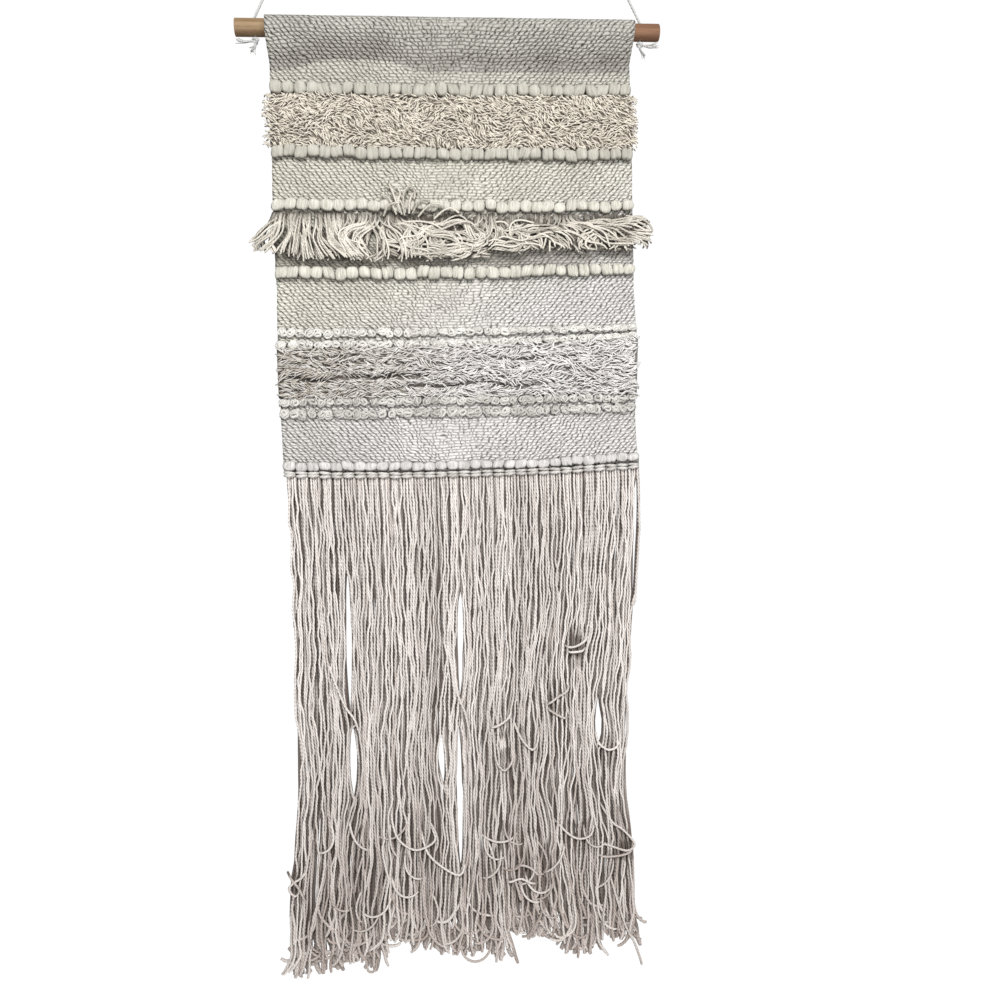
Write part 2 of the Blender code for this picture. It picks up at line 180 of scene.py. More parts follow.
def plied_finish(name, light, dark, shadow, pitch=0.0045, relief=0.00035, tint_and_shade=None):
    """Spun cotton: slanting plies, a shade of its own for each yarn, and painted shade where yarns lie deep
    and on their flanks.

    The last argument gives a colour that the cotton takes on along x (0) or z (2), where it starts, where it
    is full, and how much of it. Some yarns take on more of it than others.
    """
    made, start, shader = finish_with(name, 0.88, 0.12)
    place = start.node("TexCoord", out=3)
    along, shade, buried_shade = (
        start.node("Attribute", settings={"attribute_name": kept}, out=2)
        for kept in ("along", "shade", "buried_shade")
    )
    ply = start.node("Attribute", settings={"attribute_name": "ply"}, out=1)
    turn = along * (math.tau / pitch)
    twist = start.math("SINE", turn) * ply.part(0) + start.math("COSINE", turn) * ply.part(1)
    fuzz = place.grain(0.0006, 3.0)
    lumps = place.grain(0.009, 1.0)
    tone = shade * 0.42 + twist * 0.24 + fuzz * 0.5 + lumps * 0.5
    # painted shade: darker where a point lies deep behind the yarns in front of it, and on each yarn's
    # flanks, on the sides that face forward
    facing = start.node("TexCoord", out=1).part(1)
    flank_shade = 1.0 - start.math("ABSOLUTE", facing).ramp(0.14, 0.78)
    painted_shade = start.math("MAXIMUM", buried_shade.ramp(0.0, 1.0), flank_shade * 0.50) * (1.0 - facing.ramp(0.1, 0.6))
    colour = tone.ramp(0.15, 1.05).blend(dark, light)
    # a colour taken on along one axis: on the lower pile it is painted shade, elsewhere a darker tone
    if tint_and_shade:
        tint_colour, axis, untinted, full, most = tint_and_shade
        tint_share = (1.0 - place.part(axis).ramp(full, untinted)) * (1.45 - 0.9 * shade) * most
        colour = tint_share.blend(colour, tint_colour)
    colour = (painted_shade * 0.92).blend(colour, shadow)
    lay_on(shader, colour, twist * 0.5 + fuzz * 0.6, relief)
    return made


def spinning(sides):
    """Nodes that sweep a ring of so many sides along each route, as thick as its points say."""
    tree = bpy.data.node_groups.new("spinning", "GeometryNodeTree")
    tree.interface.new_socket("Routes", in_out="INPUT", socket_type="NodeSocketGeometry")
    tree.interface.new_socket("Yarns", in_out="OUTPUT", socket_type="NodeSocketGeometry")

    def add(kind, takes=(), **settings):
        """Adds a node, its settings first. It takes values, or what another node gives."""
        made = tree.nodes.new(kind)
        for name, setting in settings.items():
            setattr(made, name, setting)
        for socket, value in dict(takes).items():
            if isinstance(value, bpy.types.NodeSocket):
                tree.links.new(value, made.inputs[socket])
            else:
                made.inputs[socket].default_value = value
        return made.outputs

    def keep(name, shape, value, **settings):
        """Stores a value on a shape, under the name that the finish asks for."""
        takes = {"Geometry": shape, "Name": name, "Value": value}
        return add("GeometryNodeStoreNamedAttribute", takes, **settings)[0]

    along = add("GeometryNodeSplineParameter")
    routes = keep("along", add("NodeGroupInput")[0], along["Length"])
    routes = keep("shade", routes, add("FunctionNodeRandomValue")[1], domain="CURVE")
    # each point's tilt carries its painted shade to the mesh
    routes = keep("buried_shade", routes, add("GeometryNodeInputCurveTilt")[0])
    routes = add("GeometryNodeSetCurveTilt", {"Curve": routes, "Tilt": 0.0})[0]
    angle = add("ShaderNodeMath", {0: along["Factor"], 1: 2 * math.tau}, operation="MULTIPLY")[0]
    cosine, sine = (add("ShaderNodeMath", {0: angle}, operation=wave)[0] for wave in ("COSINE", "SINE"))
    pair = add("ShaderNodeCombineXYZ", {0: cosine, 1: sine})[0]
    ring = add("GeometryNodeCurvePrimitiveCircle", {"Resolution": sides, "Radius": 1.0})[0]
    ring = keep("ply", ring, pair, data_type="FLOAT_VECTOR")
    thick = add("GeometryNodeInputRadius")[0]
    sweep = {"Curve": routes, "Profile Curve": ring, "Scale": thick, "Fill Caps": True}
    swept = add("GeometryNodeCurveToMesh", sweep)[0]
    add("NodeGroupOutput", {0: add("GeometryNodeSetShadeSmooth", {0: swept})[0]})
    return tree


def spin(name, strands, sides, finish):
    """One mesh of round yarns. A strand is its points, its radius or radii, and how much painted shade each
    point gets.
    """
    routes = bpy.data.curves.new(name + "_routes", "CURVE")
    routes.dimensions = "3D"
    for points, radius, *buried_shade in strands:
        spline = routes.splines.new("POLY")
        spline.points.add(len(points) - 1)
        spline.points.foreach_set("co", [part for x, y, z in points for part in (x, y, z, 1.0)])
        spline.points.foreach_set("radius", radius if isinstance(radius, list) else [radius] * len(points))
        # the tilt carries how much painted shade each point gets
        if buried_shade:
            spline.points.foreach_set("tilt", buried_shade[0])
    guide = placed(name + "_routes", routes)
    guide.modifiers.new("spinning", "NODES").node_group = spinning(sides)
    graph = bpy.context.evaluated_depsgraph_get()
    mesh = bpy.data.meshes.new_from_object(guide.evaluated_get(graph))
    mesh.name = name
    bpy.data.objects.remove(guide)
    bpy.data.curves.remove(routes)
    mesh.materials.clear()
    mesh.materials.append(finish)
    return placed(name, mesh)


def plies(route, count, thick, offset, lay_length):
    """The plies that are twisted round a route, so thick, with a full turn in each lay length."""
    made = [[] for _ in range(count)]
    out = Vector((0.0, 1.0, 0.0))
    turned = 0.0
    for place, point in enumerate(route):
        before = route[max(place - 1, 0)]
        after = route[min(place + 1, len(route) - 1)]
        ahead = (after - before).normalized()
        out = (out - ahead * out.dot(ahead)).normalized()
        beside = ahead.cross(out)
        if place:
            turned += math.tau * (point - before).length / lay_length
        for number, ply in enumerate(made):
            angle = turned + math.tau * number / count
            ply.append(point + (out * math.cos(angle) + beside * math.sin(angle)) * offset)
    return [(ply, thick) for ply in made]


def leg_route(side):
    """The cord's leg: up through the hole, bent at its mouth, then straight and taut."""
    mouth = ROD_RADIUS + CORD_RADIUS
    heights = [-ROD_RADIUS + (ROD_RADIUS + mouth) * step / 14 for step in range(15)]
    route = [Vector((side * HOLE_X, 0.0, height)) for height in heights]
    for step in range(1, 29):
        rise = (LEG_TOP - mouth) * step / 28
        route.append(Vector((side * (HOLE_X - LEG_RUN_PER_RISE * rise), 0.0, mouth + rise)))
    return route


def frayed(route, count, radius, spread, chance):
    """Loose fibres that leave one tail and part towards its end."""
    made = []
    for _ in range(count):
        away = Vector((chance.uniform(-1, 1), chance.uniform(-1, 1), chance.uniform(-1, 1)))
        last = len(route) - 1
        points = [point + away * (0.0006 + spread * (place / last) ** 2) for place, point in enumerate(route)]
        made.append((points, [radius] * last + [radius * 0.4]))
    return made


def smooth_route(corners, steps):
    """A rounded route through its corners, with so many steps between each two of them."""
    made = []
    last = len(corners) - 1
    for place in range(last):
        p0, p1, p2, p3 = (corners[min(max(place + shift, 0), last)] for shift in (-1, 0, 1, 2))
        for step in range(steps):
            t = step / steps
            bend = (2 * p0 - 5 * p1 + 4 * p2 - p3) * (t * t) + (3 * p1 - p0 - 3 * p2 + p3) * (t * t * t)
            made.append((2 * p1 + (p2 - p0) * t + bend) * 0.5)
    return made + [corners[-1]]


def stop_knot(side, chance):
    """An overhand knot drawn up against the rod, with one tail along the rod and one hanging."""
    centre = Vector((side * HOLE_X, 0.0, KNOT_Z))
    ring = []
    for step in range(49):
        turn = math.tau * step / 48
        x = math.sin(turn) + 2 * math.sin(2 * turn)
        z = math.cos(turn) - 2 * math.cos(2 * turn)
        ring.append(centre + Vector((x, -1.3 * math.sin(3 * turn), z)) * KNOT_SCALE)
    strands = plies(ring, 2, KNOT_PLY, 0.00064, 0.0050)
    for tail in TAILS:
        route = smooth_route([centre + Vector((side * x, y, z)) * 0.001 for x, y, z in tail], 4)
        strands += plies(route, 3, TAIL_PLY, 0.00066, 0.0065)
        strands += frayed(route, FIBRES_PER_TAIL, 0.00030, 0.0030, chance)
    return strands


def end_loop(side):
    """A small ring of cord in line with its leg, tied at its foot with a few turns."""
    lean = math.atan(LEG_RUN_PER_RISE)
    up = Vector((-side * math.sin(lean), 0.0, math.cos(lean)))
    across = Vector((side * math.cos(lean), 0.0, math.sin(lean)))
    foot = leg_route(side)[-1]
    middle = foot + up * (LOOP_ABOVE_LEG + LOOP_HALF_HEIGHT)
    ring = []
    for step in range(45):
        turn = math.tau * step / 44
        aside = across * (LOOP_HALF_WIDTH * math.sin(turn))
        ring.append(middle + aside - up * (LOOP_HALF_HEIGHT * math.cos(turn)))
    strands = plies(ring, 3, TAIL_PLY, TAIL_PLY, 0.0070)
    wrap = []
    for step in range(57):
        turn = math.tau * WRAP_TURNS * step / 56
        level = foot + up * (0.0016 + 0.0050 * step / 56)
        round_it = across * math.cos(turn) + Vector((0.0, math.sin(turn), 0.0))
        wrap.append(level + round_it * WRAP_REACH)
    return strands + [(wrap, 0.00095)]


cord_finish = plied_finish(
    "cord cotton", dye(214, 214, 212), dye(150, 150, 148), dye(96, 94, 90), pitch=0.0030
)
chance = random.Random(11)
for word, side in (("left", -1), ("right", 1)):
    route = leg_route(side)
    leg = spin("hanging_leg_" + word, plies(route, 3, LEG_PLY, LEG_PLY, 0.0080), 8, cord_finish)
    knot = spin("stop_knot_cord_" + word, stop_knot(side, chance), 6, cord_finish)
    loop = spin("tied_loop_" + word, end_loop(side), 6, cord_finish)
    for piece, node in ((leg, "cord_leg_"), (knot, "stop_knot_"), (loop, "end_loop_")):
        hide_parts(node + word)
        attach(piece, "root")
    length = sum((after - before).length for before, after in zip(route, route[1:]))
    side * HOLE_X

# ---- Wooden rod -----------------------------------------------------------------------------------
# A turned dowel of plain softwood with eased end edges, drilled upright near each end for the cord.
# It is oiled unevenly, golden at the left end and reddish at the right one.

ROD_LENGTH = 0.468
HOLE_RADIUS = 0.0023
EASED_EDGE = 0.0007


def mesh_of(shape, name):
    """The mesh of a finished shape, which is let go."""
    made = bpy.data.meshes.new(name)
    shape.to_mesh(made)
    shape.free()
    return made


def round_bar(radius, length, segments, placing):
    """A solid round bar, upright before it is placed."""
    shape = bmesh.new()
    bmesh.ops.create_cone(
        shape, cap_ends=True, segments=segments, radius1=radius, radius2=radius, depth=length, matrix=placing
    )
    return shape


shape = round_bar(ROD_RADIUS, ROD_LENGTH, 64, Matrix.Rotation(math.pi / 2, 4, "Y"))
rims = [edge for edge in shape.edges if abs(edge.verts[0].co.x - edge.verts[1].co.x) < 1e-6]
bmesh.ops.bevel(shape, geom=rims, affect="EDGES", offset=EASED_EDGE, segments=3, profile=0.5, material=-1)
blank = placed("rod_blank", mesh_of(shape, "oiled_rod"))
drills = []
for side in (-1, 1):
    shape = round_bar(HOLE_RADIUS, 4 * ROD_RADIUS, 24, Matrix.Translation((side * HOLE_X, 0.0, 0.0)))
    drills.append(placed("drill", mesh_of(shape, "drill")))
    cut = blank.modifiers.new("cord hole", "BOOLEAN")
    cut.operation = "DIFFERENCE"
    cut.object = drills[-1]
graph = bpy.context.evaluated_depsgraph_get()
rod_mesh = bpy.data.meshes.new_from_object(blank.evaluated_get(graph))
for helper in [blank] + drills:
    bpy.data.objects.remove(helper)
rod_mesh.shade_smooth()
rod_mesh.set_sharp_from_angle(angle=math.radians(40))
rod = placed("oiled_rod", rod_mesh)

rod_finish, start, shader = finish_with("oiled softwood", 0.55, 0.0)
place = start.node("TexCoord", out=3)
fibres = place.grain(0.0016, 4.0, stretch=(0.05, 1.0, 1.0))
bands = place.grain(0.0060, 2.0, stretch=(0.04, 1.0, 1.0))
pores = place.grain(0.0005, 2.0, stretch=(0.06, 1.0, 1.0))
streaks = (bands * 0.7 + fibres * 0.5).ramp(0.35, 0.95)
golden = streaks.blend(dye(174, 149, 116), dye(122, 92, 62))
copper = streaks.blend(dye(152, 114, 88), dye(108, 76, 56))
colour = place.part(0).ramp(-0.15, 0.15).blend(golden, copper)
colour = (pores.ramp(0.55, 0.75) * 0.5).blend(colour, dye(96, 60, 34))
# painted shade: the rod's underside is painted dark brown
below = 1.0 - place.part(2).ramp(-0.0085, 0.0010)
colour = (below * 0.45).blend(colour, dye(92, 62, 44))
lay_on(shader, colour, fibres * 0.7 - pores * 0.5, 0.0002, 0.7)
rod_mesh.materials.clear()
rod_mesh.materials.append(rod_finish)
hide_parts("wooden_rod")
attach(rod, "root")

# ---- Woven panel ----------------------------------------------------------------------------------
# One weft-faced cotton sheet, beaten up by hand, so its grains wander and its edges wave. It folds
# over the rod, and its hem end is sewn behind the seam, which makes the pocket that holds the rod.

CLOTH = 0.0032
GAP = 0.0003
POCKET_RADIUS = 0.0113
POCKET_SLACK = 0.0004
SEAM_Z = -0.035
HEM_BEND_Z = -0.033
HEM_END_Z = -0.046
FRONT = -CLOTH / 2 - GAP
# height, left edge and right edge of the cloth
CLOTH_EDGES = (
    (0.0140, -0.2018, 0.2060), (-0.0200, -0.2004, 0.2020), (-0.0350, -0.1986, 0.1998),
    (-0.0600, -0.1985, 0.2003), (-0.1500, -0.2001, 0.2016), (-0.1760, -0.2010, 0.2013),
    (-0.2680, -0.2008, 0.2018), (-0.2810, -0.2000, 0.2015), (-0.3080, -0.2010, 0.2028),
    (-0.3340, -0.2014, 0.2046), (-0.4280, -0.2012, 0.2014), (-0.4410, -0.2008, 0.2018),
    (-0.4700, -0.2006, 0.2034), (-0.4870, -0.2002, 0.2044),
)
LOWER_EDGE = (-0.4819, -0.4869, -0.4824)
CLOTH_COLUMNS = 104
CLOTH_STEP = 0.0024
# how tall the weave's rows are above and below the seam, and how wide a grain is
ROW_ABOVE = 0.0038
ROW_BELOW = 0.0033
GRAIN_WIDTH = 0.0061
SEAM_ALONG = 0.134


def between(table, at, column, key=0):
    """Reads a column of a table, in a straight line between the two rows on both sides of at."""
    rows = sorted(table)
    at = min(max(at, rows[0][key]), rows[-1][key])
    for low, high in zip(rows, rows[1:]):
        if at <= high[key]:
            return low[column] + (at - low[key]) / (high[key] - low[key]) * (high[column] - low[column])
    return rows[-1][column]


def edge_x(edges, side, z):
    """The x of a point at side, from -1 at the left edge to 1 at the right one."""
    left = between(edges, z, 1)
    return left + (between(edges, z, 2) - left) * (side + 1) / 2


def row_z(row, side):
    """The height of a row, on the curve through its left, middle and right heights."""
    left, middle, right = row[:3]
    return middle + (right - left) / 2 * side + ((left + right) / 2 - middle) * side * side


def unit(value):
    """A value held between 0 and 1."""
    return min(1.0, max(0.0, value))


def pocket_path():
    """The middle of the sheet as (y, z, length), in even steps from the hem's end over the rod and down."""
    middle_z = ROD_RADIUS + POCKET_SLACK - POCKET_RADIUS
    radius = POCKET_RADIUS + CLOTH / 2
    hem_y = CLOTH + GAP
    corners = [(hem_y, HEM_END_Z), (hem_y, HEM_BEND_Z)]
    back_reach = math.hypot(hem_y, HEM_BEND_Z - middle_z)
    back_turn = math.atan2(HEM_BEND_Z - middle_z, hem_y) + math.acos(radius / back_reach)
    front_turn = 1.5 * math.pi - math.acos(radius / (middle_z - SEAM_Z))
    for step in range(25):
        turn = back_turn + (front_turn - back_turn) * step / 24
        corners.append((radius * math.cos(turn), middle_z + radius * math.sin(turn)))
    corners += [(0.0, SEAM_Z), (0.0, LOWER_EDGE[1])]
    path, length = [], 0.0
    for (y0, z0), (y1, z1) in zip(corners, corners[1:]):
        stretch = math.hypot(y1 - y0, z1 - z0)
        steps = max(1, round(stretch / CLOTH_STEP))
        for step in range(steps):
            share = step / steps
            path.append((y0 + (y1 - y0) * share, z0 + (z1 - z0) * share, length + stretch * share))
        length += stretch
    return path + [(*corners[-1], length)]


path = pocket_path()
shape = bmesh.new()
bmesh.ops.create_grid(shape, x_segments=CLOTH_COLUMNS, y_segments=len(path) - 1, size=1.0)
woven_at = shape.loops.layers.uv.new("woven_at")
for corner in shape.verts:
    side = corner.co.x
    y, z, length = path[round((corner.co.y + 1) / 2 * (len(path) - 1))]
    for loop in corner.link_loops:
        loop[woven_at].uv = (side * 0.2, length)
    drop = unit((-0.30 - z) / 0.187)
    low = z + (row_z(LOWER_EDGE, side) - LOWER_EDGE[1]) * drop
    x = edge_x(CLOTH_EDGES, side, low)
    scallop = 0.0007 * noise((side * 3, length / 0.0045, 2.0)) * abs(side) ** 6
    sway = 0.0008 * noise((x / 0.05, low / 0.04, 5.0)) + 0.0003 * noise((x / 0.012, low / 0.010, 9.0))
    corner.co = (x + scallop, y + sway, low)
panel_mesh = mesh_of(shape, "woven_sheet")
panel_mesh.shade_smooth()
panel = placed("woven_sheet", panel_mesh)
wall = panel.modifiers.new("cloth thickness", "SOLIDIFY")
wall.thickness = CLOTH
wall.offset = 0.0


def gaps_between(rows, low, high):
    """Dark lines where rows meet, each so wide and soft, as shares of a row."""
    return 1.0 - start.math("PINGPONG", rows, 0.5).ramp(low, high)


weave_finish, start, shader = finish_with("beaten weave", 0.9, 0.10)
woven = start.node("UVMap", settings={"uv_map": "woven_at"})
across, down = woven.part(0), woven.part(1)
drift = woven.grain(0.040, 1.0) * 1.6 + woven.grain(0.008, 0.0) * 0.5
slip = woven.grain(0.050, 1.0, stretch=(1.0, 0.7, 1.0)) * 1.6 + woven.grain(0.009, 0.0) * 0.5
fray = woven.grain(0.0030, 1.0) * 0.34
below_seam = start.math("MAXIMUM", down - SEAM_ALONG, 0.0)
row = down * (1 / ROW_ABOVE) + below_seam * (1 / ROW_BELOW - 1 / ROW_ABOVE) + slip + fray
number = start.math("FLOOR", row)
shuffled = start.node("CombineXYZ", {"X": across * 90.0, "Y": number * 7.3}).grain(1.0, 0.0)
# grains lean one way in the left half and the other way in the right half, and lie loose between
right_half = (across + woven.grain(0.02, 2.0) * 0.16).ramp(-0.03, 0.17)
one_way = start.math("ABSOLUTE", right_half * 2.0 - 1.0)
leaning = start.math("FRACT", row) * (right_half - 0.5)
loosened = shuffled * (2.6 - 1.8 * one_way)
column = across * (1 / GRAIN_WIDTH) + number * 0.5 + leaning + loosened + drift + fray
slanting = gaps_between(column, 0.00, 0.32) * (0.76 + 0.24 * one_way)
level = gaps_between(row, 0.00, 0.36)
strands = woven.grain(0.0008, 2.0, stretch=(0.6, 1.0, 1.0))
closed = woven.grain(0.0036, 1.0).ramp(0.36, 0.62)
height = strands * 0.22 - start.math("MAXIMUM", slanting, level * 0.75)
flecks = (woven.grain(0.045, 2.0) * 0.7 + strands * 0.5).ramp(0.25, 0.95)
light = flecks.blend(dye(208, 204, 190), dye(236, 233, 220))
lit_lilac = flecks.blend(dye(218, 214, 212), dye(246, 243, 241))
# painted shade: the pocket over the rod is painted grey, and darker grey near the seam, where the cloth
# curves back under the rod
shade_grey = flecks.blend(dye(170, 167, 159), dye(210, 207, 198))
deeper_shade_grey = flecks.blend(dye(142, 138, 130), dye(194, 190, 182))
bow = (across.ramp(-0.19, -0.13) - across.ramp(-0.08, -0.03)) * 0.013
seam = SEAM_ALONG - bow + (strands - 0.5) * 0.004
in_pocket = 1.0 - (down - seam).ramp(-0.003, 0.003)
near_seam = in_pocket * (down - seam).ramp(-0.032, -0.012)
# painted light: the ground grows lighter and cooler towards the lower right
ground = (down + across * 0.5).ramp(0.26, 0.48).blend(light, lit_lilac)
# painted shade: the left of the lower weave is painted greyer
left_shade = (1.0 - across.ramp(-0.20, -0.05)) * down.ramp(0.42, 0.56) * 0.34
tops = in_pocket.blend(left_shade.blend(ground, shade_grey), near_seam.blend(shade_grey, deeper_shade_grey))
# painted shadow of the tassels: the front alone is darker below them, down to a ragged line
front = (0.0 - start.node("TexCoord", out=1).part(1)).ramp(0.0, 0.3)
ragged = 1.0 - (down + woven.grain(0.045, 0.0) * 0.036).ramp(0.360, 0.374)
painted_tassel_shadow = down.ramp(0.318, 0.326) * ragged * front * 0.46
tops = painted_tassel_shadow.blend(tops, dye(112, 105, 95))
# painted shade: the gaps between the grains are painted dark, darker in the pocket and darkest near the seam
# under the rod
gap_shade = near_seam.blend(in_pocket.blend(dye(100, 94, 83), dye(70, 66, 60)), dye(46, 42, 37))
gap = (1.0 - (1.0 - slanting) * (1.0 - level * 0.62)).ramp(0.30, 1.0) * (0.40 + 0.60 * closed)
gap = gap + (0.5 - strands) * 0.12
# painted shade: the weave from the seam down towards the first bobble row is painted greyer
upper_shade = (1.0 - down.ramp(0.165, 0.200)) * (1.0 - in_pocket) * 0.55
lay_on(shader, gap.blend(upper_shade.blend(tops, shade_grey), gap_shade), height, 0.0014)
panel_mesh.materials.append(weave_finish)
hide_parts("woven_panel")
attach(panel, "root")

# ---- Bobble rows ----------------------------------------------------------------------------------
# Five weft rows of thick unspun roving. The weaver pulls it up between the warps, so each bead is one
# to three soft turns side by side, and the beads stand out from the cloth and shade it.

BEADS = 31
# left, middle and right height, half height at the left and right, depth
BOBBLE_ROWS = {
    "bobble_row_1": (-0.0651, -0.0666, -0.0655, 0.0073, 0.0073, 0.0095),
    "bobble_row_2": (-0.1326, -0.1352, -0.1357, 0.0073, 0.0073, 0.0095),
    "bobble_row_3": (-0.1890, -0.1920, -0.1931, 0.0070, 0.0070, 0.0090),
    "bobble_row_4": (-0.2634, -0.2654, -0.2620, 0.0075, 0.0070, 0.0095),
    "bobble_row_5": (-0.4762, -0.4812, -0.4767, 0.0055, 0.0055, 0.0080),
}
# how often a bead has so many turns; each turn's step and half width, as shares of the bead's width
TURN_CHANCES = (0.56, 0.38, 0.06)
TURN_STEPS = {1: 0.0, 2: 0.40, 3: 0.28}
TURN_HALVES = {1: 0.550, 2: 0.338, 3: 0.254}


def row_half(row, side):
    """Half the height of a row at side."""
    return row[3] + (row[4] - row[3]) * (side + 1) / 2


def swell(amount, power):
    """Rounds a share from -1 to 1 towards a fuller or a flatter form."""
    return math.copysign(abs(amount) ** power, amount)


def add_turn(shape, turned_at, centre, half_width, half_height, depth, lean):
    """One soft turn of roving: a full, uneven pillow, flat where it meets the cloth."""
    made = bmesh.ops.create_uvsphere(shape, u_segments=16, v_segments=10, radius=1.0)["verts"]
    begin = Vector((centre.x * 40, half_width * 900, centre.z * 40))
    for corner in made:
        x, y, z = corner.co
        for loop in corner.link_loops:
            loop[turned_at].uv = (centre.x * 37 + 0.006 * math.atan2(x, -y), centre.z * 5 + 0.007 * z)
        lump = 1.0 + 0.16 * noise(corner.co * 1.1 + begin)
        round_z = swell(z, 0.76)
        pinch = 1.0 - 0.12 * round_z * round_z - 0.10 * max(0.0, -round_z) ** 3
        x = swell(x, 0.74) * half_width * pinch * lump
        z = round_z * half_height * lump
        forward = swell(y, 0.85) * depth * (0.58 if y < 0 else 0.42) * min(lump, 1.0)
        corner.co = (centre.x + x + lean * z, FRONT - depth * 0.42 + forward, centre.z + z)


roving_finish, start, shader = finish_with("soft roving", 0.92, 0.15)
place = start.node("TexCoord", out=3)
turned = start.node("UVMap", settings={"uv_map": "turned_at"})
fibres = turned.grain(0.0016, 3.0, stretch=(1.0, 0.14, 1.0))
fuzz = place.grain(0.0010, 2.0)
bunches = place.grain(0.012, 1.0, stretch=(1.0, 1.0, 0.5))
tone = (fibres * 0.75 + fuzz * 0.30 + bunches * 0.40).ramp(0.45, 0.95)
cream = tone.blend(dye(178, 174, 161), dye(234, 231, 219))
cool = tone.blend(dye(178, 175, 170), dye(234, 231, 229))
colour = (1.0 - place.part(2).ramp(-0.48, -0.30)).blend(cream, cool)
# painted shade: the two upper rows are painted darker
colour = (place.part(2).ramp(-0.175, -0.140) * 0.44).blend(colour, dye(160, 156, 145))
# painted shade: each bead is painted dark on its sides, its underside and where it lies deep near the cloth
facing = start.node("TexCoord", out=1)
flank_shade = start.math("ABSOLUTE", facing.part(0)).ramp(0.78, 0.99)
below = start.math("MAXIMUM", flank_shade * 0.90, (0.0 - facing.part(2)).ramp(0.45, 1.00) * 0.80)
crevice_shade = start.math("MAXIMUM", place.part(1).ramp(-0.0084, -0.0036), below)
lay_on(shader, (crevice_shade * 0.92).blend(colour, dye(76, 70, 60)), fibres, 0.0014)

for name, row in BOBBLE_ROWS.items():
    chance = random.Random(name)
    shape = bmesh.new()
    turned_at = shape.loops.layers.uv.new("turned_at")
    pitch = (edge_x(CLOTH_EDGES, 1, row[1]) - edge_x(CLOTH_EDGES, -1, row[1])) / BEADS
    for bead in range(BEADS):
        side = -1 + (2 * bead + 1) / BEADS
        half = row_half(row, side) * chance.uniform(0.88, 1.06)
        x = edge_x(CLOTH_EDGES, side, row[1]) + chance.uniform(-0.0005, 0.0005)
        middle = Vector((x, 0.0, row_z(row, side) + chance.uniform(-0.0009, 0.0009)))
        turns = chance.choices((1, 2, 3), TURN_CHANCES)[0]
        lean = chance.uniform(-0.12, 0.16) if turns == 1 else chance.uniform(-0.30, 0.34)
        width = pitch * chance.uniform(0.96, 1.05)
        for turn in range(turns):
            shift = (turn - (turns - 1) / 2) * width * TURN_STEPS[turns]
            centre = middle + Vector((shift, 0.0, chance.uniform(-0.0009, 0.0009)))
            fat = TURN_HALVES[turns] * width
            add_turn(shape, turned_at, centre, fat, half, row[5] * chance.uniform(0.88, 1.03), lean)
    mesh = mesh_of(shape, "roving_" + name)
    mesh.shade_smooth()
    mesh.materials.append(roving_finish)
    row_piece = placed("roving_" + name, mesh)
    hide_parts(name)
    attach(row_piece, "root")

# ---- Loop rows ------------------------------------------------------------------------------------
# Four weft rows of fine yarn, taken several strands together and pulled up between the warps, so each
# raised loop is a little sheaf of curled yarns. Two rows lie above the lower pile and two below it.

LOOPS = 41
ROW_WIDTH = 0.402
LOOP_YARN = 0.0019
CURL_RADIUS = 0.00170
LAP_RADIUS = 0.00175
# left, middle and right height, half height at the left and right, depth
LOOP_ROWS = {
    "loop_row_1": (-0.3292, -0.3309, -0.3282, 0.0060, 0.0040, 0.0065),
    "loop_row_2": (-0.3419, -0.3432, -0.3370, 0.0060, 0.0040, 0.0065),
    "loop_row_3": (-0.4057, -0.4072, -0.4077, 0.0063, 0.0060, 0.0065),
    "loop_row_4": (-0.4190, -0.4208, -0.4203, 0.0063, 0.0060, 0.0065),
}

